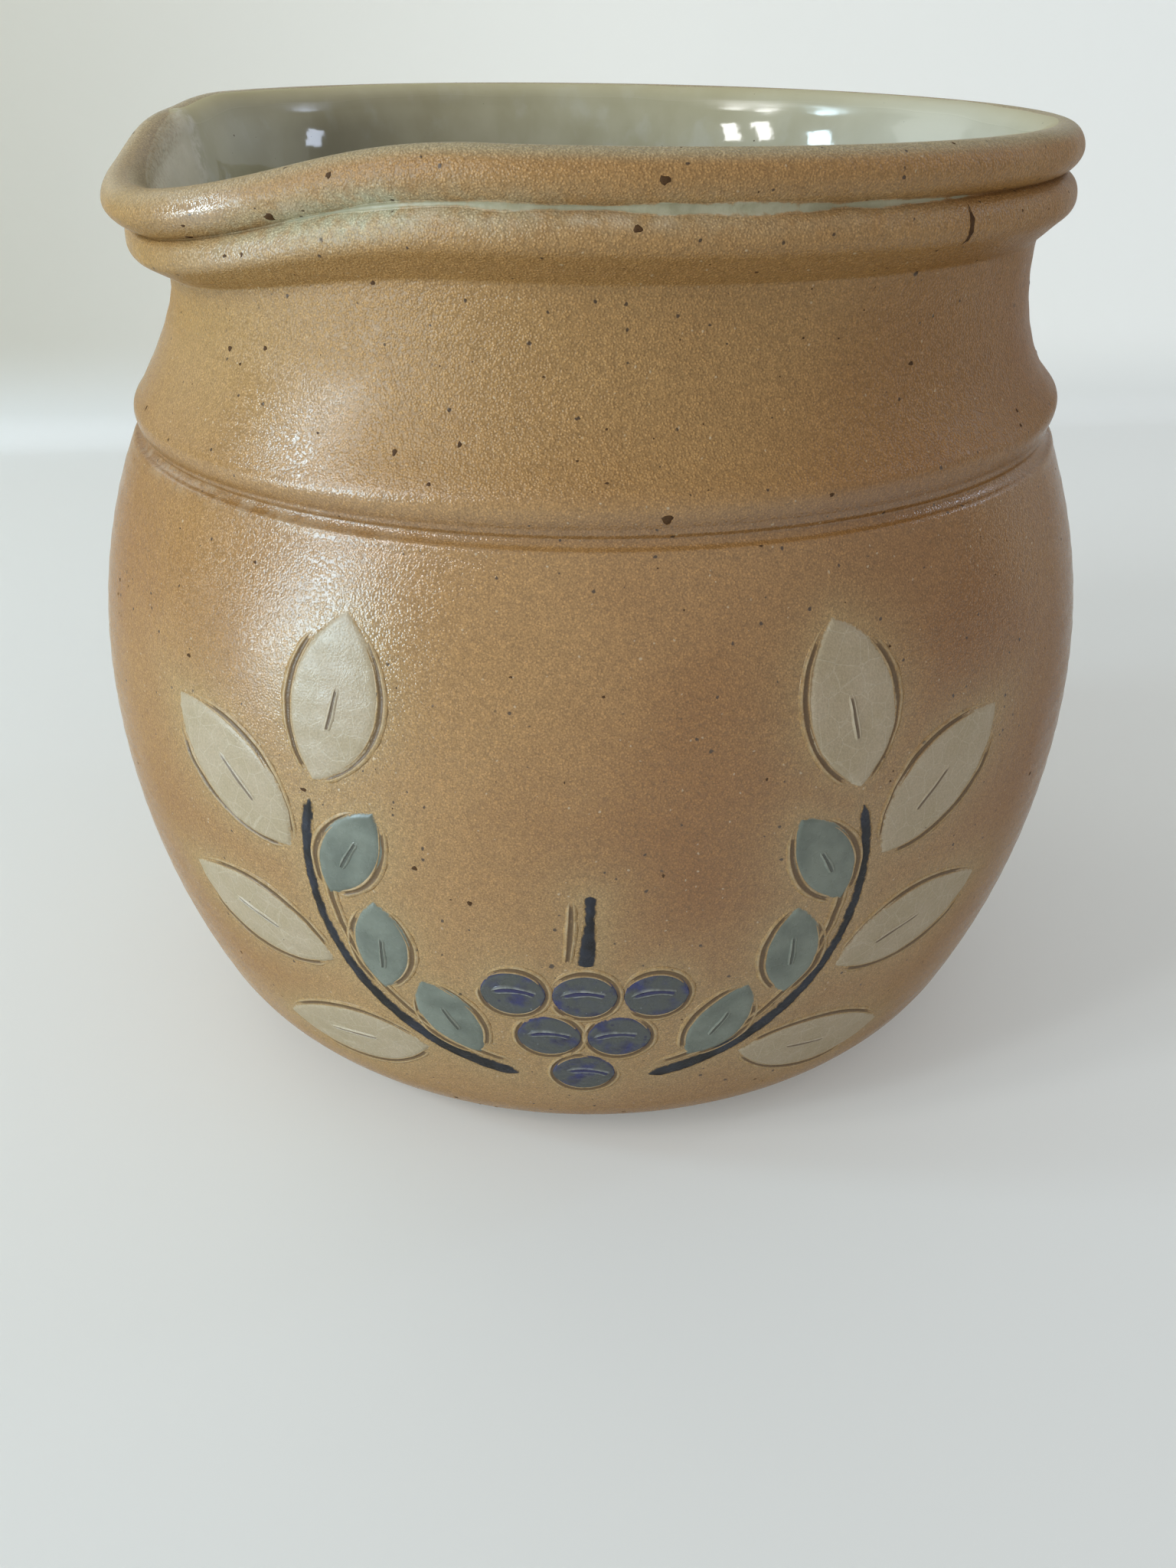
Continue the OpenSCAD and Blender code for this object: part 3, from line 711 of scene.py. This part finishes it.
clayMaterial = makeMaterial("saltGlazedStoneware", layClay)
strokeMaterial = makeMaterial("cutClay", layStroke, 0.5)
linerMaterial = makeMaterial("linerGlaze", layLiner, 0.6)
poolMaterial = makeMaterial("pooledGlaze", layPool, 0.5)
speckMaterial = makeMaterial("ironSpeck", laySpeck, 0.1)
slips = {
    "cream": makeMaterial("creamSlip", slipOver(layCream, cream, (0.1, 0.7)), 0.7),
    "celadon": makeMaterial("celadonSlip", slipOver(layCeladon, celadon, (0.1, 0.5)), 0.7),
    "cobalt": makeMaterial("cobaltSlip", slipOver(layCobalt, cobalt, (0.05, 0.45)), 0.8),
    "ink": makeMaterial("ironSlip", slipOver(layInk, ink, (0.15, 0.75)), 0.35),
}
print("materials made")

# Wreath on the front: drawn flat in x and z, then laid on the belly
wreath = {
    "r": 35, "z": 52, "stemFrom": 14, "stemTo": 104, "stemW": 2.4,
    "first": 6, "stagger": 10, "step": 28, "count": 3, "lean": 40, "gap": 1,
    "creamL": 22, "creamW": 11.5, "celadonL": 15, "celadonW": 8,
    "berryD": 8.4, "berryGap": 0.8, "bunchZ": 19, "berryRows": 3, "stalkL": 9, "stalkBow": 0.5,
}
relief = {"slip": 0.2, "sunk": -0.12, "skirt": 0.35, "below": -0.3, "feather": 0.8,
          "coverFrom": 0.2, "coverAt": 0.9, "inset": 0.1, "least": 0.02, "loop": 56}


def turned(points, angle, to):  # flat points turned by an angle and moved
    c, s = cos(angle), sin(angle)
    return points @ np.array([[c, s], [-s, c]]) + to


def mirrored(line, side):  # the left half of the wreath is the right half turned over
    return line * np.array([side, 1])


def sidewaysOf(line):  # steps of one millimetre to the left of a drawn line
    way = np.gradient(line, axis=0)
    way /= np.linalg.norm(way, axis=1, keepdims=True)
    return np.c_[-way[:, 1], way[:, 0]]


# A loop of points carried along a drawn line: across is a share of the half width, lift its height
def carried(line, half, across, lift):
    flat = line[:, None] + sidewaysOf(line)[:, None] * (half[:, None] * across)[..., None]
    return onFront(flat[..., 0], flat[..., 1], lift)


# A pad of slip: a loop over the top and back under the clay, feathered at its edge, with a skirt in the clay
def slipPad(line, half, thick=relief["slip"], coverAt=relief["coverAt"]):
    turn = np.linspace(0, 2 * pi, relief["loop"] + 1)[:-1]
    across = np.cos(turn)
    onTop = np.sin(turn) > -1e-6
    half = np.maximum(half, relief["least"])
    wide = half + relief["skirt"] * np.clip(half, 0, 1)
    inside = half[:, None] - wide[:, None] * np.abs(across)
    lift = thick * easy(inside / relief["feather"]) + relief["sunk"] * easy(-inside / relief["skirt"])
    cover = np.where(onTop, np.clip(relief["coverFrom"] + inside / coverAt, 0, 1), 0)
    points = carried(line, wide, across, np.where(onTop, lift, relief["below"]))
    return closedSkin(points, {"cover": cover, "line": 0.0, "burr": 0.0})


cut = {
    "half": 0.34, "end": 0.25, "waver": 0.12, "wavers": 9, "burr": 0.13, "floor": 0.015, "sink": 0.1,
    "runIn": 0.08, "runOut": 0.22, "fade": 0.7, "core": 1.05, "coreOver": 0.4, "burrFrom": 0.9,
    "out": [2.7, 2.0, 1.5, 1.15, 0.9, 0.65], "high": [-0.4, 0.25, 0.75, 1, 0.7, 0.1],  # from outside in
}


# A cut line: dark bottom between two pushed-up edges, tapering to nothing at both ends
def cutLine(line, half=cut["half"], base=0.0):
    ends = np.linspace(0, 1, len(line))
    taper = easy(ends / cut["runIn"]) * easy((1 - ends) / cut["runOut"]) ** cut["fade"]
    waver = 1 + cut["waver"] * np.sin(cut["wavers"] * ends + len(line))
    wide = half * (cut["end"] + (1 - cut["end"]) * taper) * waver
    out, edge = np.array(cut["out"]), np.array(cut["high"])
    across = np.r_[-out, 0, out[::-1], 1, 0, -1]
    high = np.r_[edge, 0, edge[::-1], 0, 0, 0]
    under = np.arange(len(across)) > 2 * len(out)
    taper = taper[:, None]
    lift = cut["floor"] + base + cut["burr"] * high * taper - cut["sink"] * (1 - taper)
    # line is where painted shade lies along the bottom, burr where a painted highlight lies along the edges
    core = easy((cut["core"] - np.abs(across)) / cut["coreOver"]) * taper
    burr = np.where(under, 0, np.clip(high, 0, 1) * (np.abs(across) > cut["burrFrom"])) * taper
    points = carried(line, wide, across, np.where(under, relief["below"], lift))
    return closedSkin(points, {"cover": 1.0, "line": core, "burr": burr})


# Half width of a pointed leaf at a share of its length: the lens between two arcs
def leafHalf(u, length, width):
    bow = (length ** 2 + width ** 2) / (4 * width)
    return np.sqrt(bow ** 2 - (length * (u - 0.5)) ** 2) - (bow - width / 2)


leaf = {"rows": 44, "bend": 0.7, "swell": 0.05,
        "start": (0.0, 0.05), "past": (0.01, 0.05), "short": (0.86, 0.95), "cutRows": 60, "ribRows": 30,
        "ribLow": (0.24, 0.58), "ribHigh": (0.36, 0.74), "ribSlant": 0.4, "ribMiddle": 0.4, "ribHalf": 0.2}


# One leaf from its stalk end: a pad inside two cut sides that cross or stop short at the tip, and a midrib
def drawLeaf(length, width, angle, to, side):
    bend = dice.uniform(-leaf["bend"], leaf["bend"])
    swell = dice.uniform(-leaf["swell"], leaf["swell"], 2)

    def placed(along, across):
        line = np.c_[length * along, bend * np.sin(pi * along) + across]
        return mirrored(turned(line, angle, to), side)

    u = 0.5 - 0.5 * np.cos(pi * np.linspace(0, 1, leaf["rows"]))
    half = leafHalf(u, length, width) * (1 + swell[0] * np.sin(2 * pi * u))
    pad = slipPad(placed(u, 0 * u), half - relief["inset"])
    cuts = []
    for flank, stop in ((1, 1 + dice.uniform(*leaf["past"])), (-1, dice.uniform(*leaf["short"]))):
        v = np.linspace(dice.uniform(*leaf["start"]), stop, leaf["cutRows"])
        edge = np.where(v <= 1, leafHalf(np.minimum(v, 1), length, width), -(v - 1) * width)
        cuts.append(cutLine(placed(v, flank * edge * (1 + swell[1] * np.sin(2 * pi * v)))))
    v = np.linspace(*dice.uniform(leaf["ribLow"], leaf["ribHigh"]), leaf["ribRows"])
    rib = cutLine(placed(v, leaf["ribSlant"] * (v - leaf["ribMiddle"])), leaf["ribHalf"], relief["slip"])
    return [pad, rib], cuts


def wreathPoint(angle):  # point of the open ring, counted from its bottom
    return np.c_[wreath["r"] * np.sin(angle), wreath["z"] - wreath["r"] * np.cos(angle)]


# Leaves of one kind along a stem: away from it by the lean, on its inner side (1) or outer side (-1)
def leafRow(first, lean, length, width, side, ending):
    off = wreath["stemW"] / 2 + wreath["gap"]
    stalk = off / sin(radians(wreath["lean"]))
    places = [(first + k * wreath["step"], lean * wreath["lean"], stalk) for k in range(wreath["count"])]
    if ending:
        places.append((wreath["stemTo"], 0, off))
    pads, cuts = [], []
    for at, turn, away in places:
        angle = radians(at + turn)
        to = wreathPoint(np.array([radians(at)]))[0] + away * np.array([cos(angle), sin(angle)])
        slip, lines = drawLeaf(length, width, angle, to, side)
        pads += slip
        cuts += lines
    return pads, cuts


brush = {"rows": 120, "stalkRows": 60, "press": 0.18, "presses": 5, "runIn": 0.04, "runOut": 0.05,
         "thick": 0.14, "coverAt": 0.6, "beside": 2.3}


# A brushed stem: a band whose width follows the pressure of the brush, with a cut line beside it
def drawStem(line, side):
    t = np.linspace(0, 1, len(line))
    pressed = 1 - brush["press"] + brush["press"] * np.sin(brush["presses"] * t + 1)
    half = wreath["stemW"] / 2 * pressed * np.sqrt(easy(t / brush["runIn"]) * easy((1 - t) / brush["runOut"]))
    beside = line + side * brush["beside"] * sidewaysOf(line)
    return slipPad(line, half, brush["thick"], brush["coverAt"]), cutLine(beside)


berry = {"rows": 40, "ringRows": 90, "ring": (5.6, 6.4), "opens": 0.02, "bow": 1.5, "drop": 1.3, "half": 0.52,
         "sway": 0.12, "cut": 0.3}


def drawBerry(x, z):  # a round pad in a cut ring, with one curved cut across it
    turn = np.linspace(0, pi, berry["rows"])
    radius = wreath["berryD"] / 2
    pad = slipPad(np.c_[x - radius * np.cos(turn), z + 0 * turn], radius * np.sin(turn) - relief["inset"])
    start = dice.uniform(0, 2 * pi)
    turn = np.linspace(start, start + dice.uniform(*berry["ring"]), berry["ringRows"])
    ring = np.c_[x + (radius + berry["opens"] * (turn - start)) * np.cos(turn), z + radius * np.sin(turn)]
    swing = pi / 2 + np.linspace(-berry["half"], berry["half"], berry["rows"])
    swing = swing + dice.uniform(-berry["sway"], berry["sway"])
    bow = berry["bow"] * radius
    across = np.c_[x + bow * np.cos(swing), z + bow * np.sin(swing) - berry["drop"] * radius]
    return [pad, cutLine(across, berry["cut"], relief["slip"])], [cutLine(ring)]


allCuts, made = [], {"berries": []}
firstLeaf = wreath["stemFrom"] + wreath["first"]
stemTurn = np.radians(np.linspace(wreath["stemFrom"], wreath["stemTo"], brush["rows"]))
for side, name in ((-1, "left"), (1, "right")):
    outer = leafRow(firstLeaf + wreath["stagger"], -1, wreath["creamL"], wreath["creamW"], side, True)
    inner = leafRow(firstLeaf, 1, wreath["celadonL"], wreath["celadonW"], side, False)
    stem, line = drawStem(mirrored(wreathPoint(stemTurn), side), side)
    made |= {name + "Cream": outer[0], name + "Celadon": inner[0], name + "Stem": [stem]}
    allCuts += outer[1] + inner[1] + [line]

pitch = wreath["berryD"] + wreath["berryGap"]
rowHigh = pitch * sin(pi / 3)
for row in range(wreath["berryRows"]):
    for k in range(row + 1):
        slip, lines = drawBerry((k - row / 2) * pitch, wreath["bunchZ"] + row * rowHigh)
        made["berries"] += slip
        allCuts += lines
stalkFoot = wreath["bunchZ"] + (wreath["berryRows"] - 1) * rowHigh + wreath["berryD"] / 2 + wreath["gap"]
t = np.linspace(0, 1, brush["stalkRows"])
stalkUp = stalkFoot + (wreath["stalkL"] + wreath["stemW"]) * t
stalk, line = drawStem(np.c_[wreath["stalkBow"] * np.sin(2 * t), stalkUp], 1)
made["stalk"] = [stalk]
allCuts.append(line)
haloStep = 40  # every so many of the painted points count for the halo
slipPoints = np.vstack([points[::haloStep, [0, 2]] for points, *_ in sum(made.values(), [])])
print("wreath drawn,", len(allCuts), "cut lines")

# Pot
makePiece("stonewareBody", [closedSkin(skin(section["rows"][:, None], fullTurn(pot["columns"])), {})],
          clayMaterial, "stoneware", "stoneware_body")

for side in ("left", "right"):
    makePiece(side + "CreamLeaves", made[side + "Cream"], slips["cream"], "cream_slip",
              side + "_cream_leaves")
    makePiece(side + "CeladonLeaves", made[side + "Celadon"], slips["celadon"], "celadon_slip",
              side + "_celadon_leaves")
    makePiece(side + "Stem", made[side + "Stem"], slips["ink"], "iron_slip", side + "_stem")
makePiece("bunchStalk", made["stalk"], slips["ink"], "iron_slip", "bunch_stalk")
makePiece("cobaltBerries", made["berries"], slips["cobalt"], "cobalt_slip", "cobalt_berries")
makePiece("cutLines", allCuts, strokeMaterial, "stoneware")

# Liner glaze: a shell over the inside from a wavy edge under the rim, higher in the spout, down to the floor
lining = {
    "rows": 80, "columns": 340, "crowd": 1.8, "thick": 0.45, "under": -0.12, "backing": 0.1, "fade": 5,
    "bare": -0.6, "wave": [(0.2, 5, 1), (0.12, 11, 0), (0.08, 23, 2)], "thin": 1.5, "edge": 5,
    "spoutBare": 2.6, "spoutThin": 5, "spoutEdge": 0.6, "lipTurn": 178, "lipOver": 30,
    "dryDepth": 14, "dryFrom": 4,
    "creaseTurn": 175.5, "creaseSlant": 4, "creaseWide": 1.4, "creaseHigh": 0.4, "creaseFrom": 3,
    "pit": 0.55, "pitTurn": 140, "pitWide": 16, "pitFrom": 3, "pitOver": 7, "pitDepth": 45,
    "litTurn": 20, "litHalf": 55, "litDepth": 25,
    "drip": 0.45, "dripTurn": 163, "dripHalf": 12, "dripDepth": 8, "dripTall": 4,
}


def makeLiner(p):
    a = fullTurn(p["columns"])
    inSpout = easy(2 * scoop(a))
    nearLip = easy((a % (2 * pi) - radians(p["lipTurn"])) / radians(p["lipOver"]))
    bare = (p["bare"] + ripple(a, p["wave"])) * (1 - inSpout) + p["spoutBare"] * inSpout * nearLip
    top = marks["lip"][0] + bare
    below = (section["s"][-1] - top) * np.linspace(0, 1, p["rows"])[:, None] ** p["crowd"]
    s = top + below
    dried = np.exp(-((below / p["dryDepth"]) ** 3))
    slant = a - radians(p["creaseSlant"]) * below / p["dryDepth"]
    creased = alongRim(slant, [(p["creaseTurn"], p["creaseWide"], 1)]) * dried * easy(below / p["creaseFrom"])
    face = p["under"] + (p["thick"] - p["under"]) * easy(below / p["fade"])
    visible = lifted(s, a[None], face + p["creaseHigh"] * creased)
    hidden = lifted(s[::-1], a[None], p["under"] - p["backing"])[:-1]
    # painted shade on the inside wall at the back left, where the glossy glaze faces away from the window
    pitted = alongRim(a, [(p["pitTurn"], p["pitWide"], p["pit"])])
    # painted light: paler milky glaze high on the inside right wall, where the window lights it
    litRight = bellRound(a, p["litTurn"], p["litHalf"]) * np.exp(-below / p["litDepth"])
    dripped = p["drip"] * bell((below - p["dripDepth"]) / p["dripTall"])
    tones = {
        "edge": np.exp(-below / p["edge"]) * (1 - p["spoutEdge"] * inSpout),
        "thin": np.exp(-below / (p["thin"] + p["spoutThin"] * inSpout)),
        "pit": pitted * easy((below - p["pitFrom"]) / p["pitOver"]) * np.exp(-((below / p["pitDepth"]) ** 4)),
        "milk": litRight + dripped * bellRound(a, p["dripTurn"], p["dripHalf"]),
        # pale dry glaze in the spout's hollow, partly painted light
        "channel": easy(4 * scoop(slant)) * dried * easy(below / p["dryFrom"]),
        "crease": creased,
    }
    values = {name: np.vstack([tone[::-1][:-1], tone]) for name, tone in tones.items()}
    makePiece("linerGlaze", [closedSkin(np.vstack([hidden, visible]), values)],
              linerMaterial, "liner_glaze", "liner_glaze")


makeLiner(lining)

# Glaze pooled in the groove between the beads: its front runs from bead to bead and is a little hollow
pooled = {
    "runs": [(-113, 5, 0.8), (-121, 8, 0.6), (-101, 8, 0.9), (-80, 14, 1.5), (-60, 10, 0.9), (70, 60, 0.4)],
    "ripple": [(0.12, 13, 0), (0.1, 29, 1), (0.08, 47, 2)], "thin": 0.2, "full": 1.6, "covered": 0.8,
    "hollow": 0.3, "over": 0.02, "sunk": -0.15, "across": 10, "columns": 480,
}


def makePool(p):
    a = fullTurn(p["columns"])
    runs = alongRim(a, p["runs"])
    fill = (p["thin"] + runs) * (1 + ripple(a, p["ripple"]))
    share = np.linspace(0, 1, p["across"])[:, None]
    offMiddle = 2 * share - 1
    bottom = marks["highBead"][0]
    low, high = (lifted(bottom + way * fill, a, p["over"]) for way in (-1, 1))
    inward = p["hollow"] * fill / p["full"] * 4 * share * (1 - share)
    front = low + (high - low) * share[..., None]
    front[..., 0] -= inward * np.cos(a)
    front[..., 1] -= inward * np.sin(a)
    back = lifted(bottom - fill * offMiddle, a[None], p["sunk"])
    crust = np.broadcast_to(np.abs(offMiddle) ** 3, inward.shape)
    cover = easy(runs / p["covered"]) * (1 - crust)
    values = {"cover": np.vstack([cover, cover]), "crust": np.vstack([crust, crust])}
    makePiece("grooveGlaze", [closedSkin(np.vstack([front, back]), values, poles=False)],
              poolMaterial, "pooled_glaze", "groove_glaze")


makePool(pooled)

# Iron specks that stand out of the skin: flattened balls with a wavy outline, over belly, neck and beads
specks = {"count": 420, "small": 0.1, "large": 0.34, "rare": 3, "squash": (0.7, 1.3), "flat": 0.2,
          "rings": 7, "columns": 10}
largeSpecks = [  # azimuth, height, radius along the section and across it
    (-84.5, 130.8, 0.45, 0.6), (-86.8, 126.1, 0.4, 0.5), (-126.5, 128.7, 0.6, 0.65),
    (-117.8, 131.7, 0.35, 0.4), (-82.8, 95.7, 0.6, 0.62), (-139.1, 128.1, 0.35, 0.6),
    (-137.3, 108.9, 0.4, 0.45), (-130.7, 110.1, 0.35, 0.35), (-103.9, 102.8, 0.35, 0.25),
    (-110.7, 101.5, 0.4, 0.3), (-53.1, 109.6, 0.25, 0.45), (-115.4, 119.5, 0.3, 0.35),
]
kilnCrack = (-50.3, 125, 2.3, 0.48)  # a slit in the lower bead


def makeSpecks(p):
    s = dice.uniform(marks["foot"][0], marks["highBead"][1], p["count"])
    a = dice.uniform(-pi, pi, p["count"])
    size = p["small"] + (p["large"] - p["small"]) * dice.random(p["count"]) ** p["rare"]
    squash = dice.uniform(*p["squash"], p["count"])
    turns, heights, placedLong, placedWide = np.array(largeSpecks + [kilnCrack]).T
    s, a = np.r_[s, sectionAt(heights)], np.r_[a, np.radians(turns)]
    longs, wides = np.r_[size * squash, placedLong], np.r_[size / squash, placedWide]
    polar = np.linspace(0, pi, p["rings"])[:, None]
    equator = np.linspace(0, 2 * pi, p["columns"] + 1)[:-1][None]
    skins = []
    for at, turn, long, wide in zip(s, a, longs, wides):
        ragged = (1 + ripple(equator, [(0.18, 3, 40 * turn), (0.1, 5, at)])) * np.sin(polar)
        along = at + long * ragged * np.cos(equator)
        across = turn + wide * ragged * np.sin(equator) / pot["rim"]
        skins.append(closedSkin(lifted(along, across, p["flat"] * min(long, wide) * np.cos(polar)), {}))
    makePiece("ironSpecks", skins, speckMaterial, "stoneware")


makeSpecks(specks)

# Floor and backdrop: one sheet that turns up behind the pot, in metres
# Painted light: the sheet glows to the camera and in mirror rays, more to the right. Painted shade: the wall
# darker to the left
stage = {"half": 2.2, "front": -2.2, "back": 0.333, "skew": 0.15, "turn": 0.012, "top": 1.6,
         "under": 0.05 * mm, "wide": 0.35, "wallFrom": 0.04,
         "left": (0.58, 0.54, 0.45, 1), "right": (0.71, 0.715, 0.695, 1),
         "glow": (0.95, 1.0, 0.99, 1), "floorGlow": (0.112, 0.196), "wallGlow": 0.32,
         "glowAcross": (-0.28, 0.035), "roughness": 0.6}


def makeStage(p):
    turn = np.linspace(0, pi / 2, 9)
    rise = np.c_[p["back"] - p["turn"] + p["turn"] * np.sin(turn), p["turn"] - p["turn"] * np.cos(turn)]
    line = np.vstack([[p["front"], 0], rise, [p["back"], p["top"]]])
    verts = [(x, y + p["skew"] * x * (y > 0), z - p["under"])
             for x in (-p["half"], p["half"]) for y, z in line]
    count = len(line)
    faces = [(k, k + count, k + count + 1, k + 1) for k in range(count - 1)]
    mesh = bpy.data.meshes.new("paleFloor")
    mesh.from_pydata(verts, [], faces)
    mesh.polygons.foreach_set("use_smooth", np.ones(len(faces), bool))
    material, paint, shader = startMaterial("paleFloor")
    place = paint.add("SeparateXYZ", {0: paint.place}).outputs
    onWall = paint.spread(place["Z"], 0, p["wallFrom"])
    across = paint.spread(place["X"], -p["wide"], p["wide"])
    floorGlow = paint.spread(across, 0, 1, *p["floorGlow"])
    wallGlow = paint.spread(place["X"], *p["glowAcross"], 0, p["wallGlow"])
    rays = paint.add("LightPath").outputs
    mirrorRay = paint.maths("MAXIMUM", rays["Is Glossy Ray"], rays["Is Transmission Ray"])
    seen = paint.maths("MAXIMUM", rays["Is Camera Ray"], mirrorRay)
    # painted light, seen by the camera and in reflections
    glow = paint.times(paint.mix(onWall, floorGlow, wallGlow), seen)
    # painted shade: the wall darker and warmer to the left
    tone = paint.blend(paint.times(onWall, paint.minus(1, across)), p["right"], p["left"])
    paint.fill(shader, {"Base Color": tone, "Roughness": p["roughness"], "Emission Color": p["glow"],
                        "Emission Strength": glow})
    mesh.materials.append(material)
    floor = bpy.data.objects.new("paleFloor", mesh)
    scene.collection.objects.link(floor)


makeStage(stage)

# Light: windows on the left and behind, two panes in front, one on the right, and a pale room
lamps = {  # place and size in metres, watts, tint
    "leftWindow": ((-0.70, -0.43, 0.21), (0.20, 0.33), 2.4, (0.64, 0.86, 1.0)),
    "farWindow": ((-0.78, -0.15, 0.54), (0.12, 0.14), 1.15, (0.64, 0.86, 1.0)),
    "lowWindow": ((-0.62, -0.20, 0.052), (0.05, 0.05), 0.32, (0.8, 0.95, 1.0)),
    "frontPaneA": ((-0.71, -0.44, 0.68), (0.085, 0.18), 0.9, (1, 1, 1)),
    "frontPaneB": ((-0.61, -0.58, 0.68), (0.085, 0.18), 0.9, (1, 1, 1)),
    "rightPane": ((0.85, 0.25, 0.48), (0.10, 0.12), 0.33, (0.7, 0.8, 1.0)),
    "backWindow": ((-0.27, 0.22, 0.27), (0.18, 0.18), 0.12, (0.95, 1.0, 0.98)),
}
aim = (0, 0, 0.07)
room = {"colour": (0.98, 0.98, 0.98, 1), "front": 0.58, "back": 0.33, "way": (0.5, 0.87, 0)}


def makeLamps():
    for name, (at, size, watts, tint) in lamps.items():
        light = bpy.data.lights.new(name, "AREA")
        light.shape = "RECTANGLE"
        light.size, light.size_y = size
        light.energy = watts
        light.color = tint
        holder = bpy.data.objects.new(name, light)
        facing = (Vector(aim) - Vector(at)).to_track_quat("-Z", "Y")
        holder.matrix_world = Matrix.Translation(at) @ facing.to_matrix().to_4x4()
        scene.collection.objects.link(holder)


def makeRoom():  # darker behind the pot than in front of it
    world = bpy.data.worlds.new("paleRoom")
    world.use_nodes = True
    paint = nodePaint(world.node_tree)
    outward = paint.place.node.outputs["Generated"]
    way = paint.add("VectorMath", {0: outward, 1: room["way"]}, operation="DOT_PRODUCT").outputs["Value"]
    strength = paint.spread(way, -1, 1, room["front"], room["back"])
    paint.fill(world.node_tree.nodes["Background"], {"Color": room["colour"], "Strength": strength})
    scene.world = world


makeLamps()
makeRoom()
print("floor and light set")
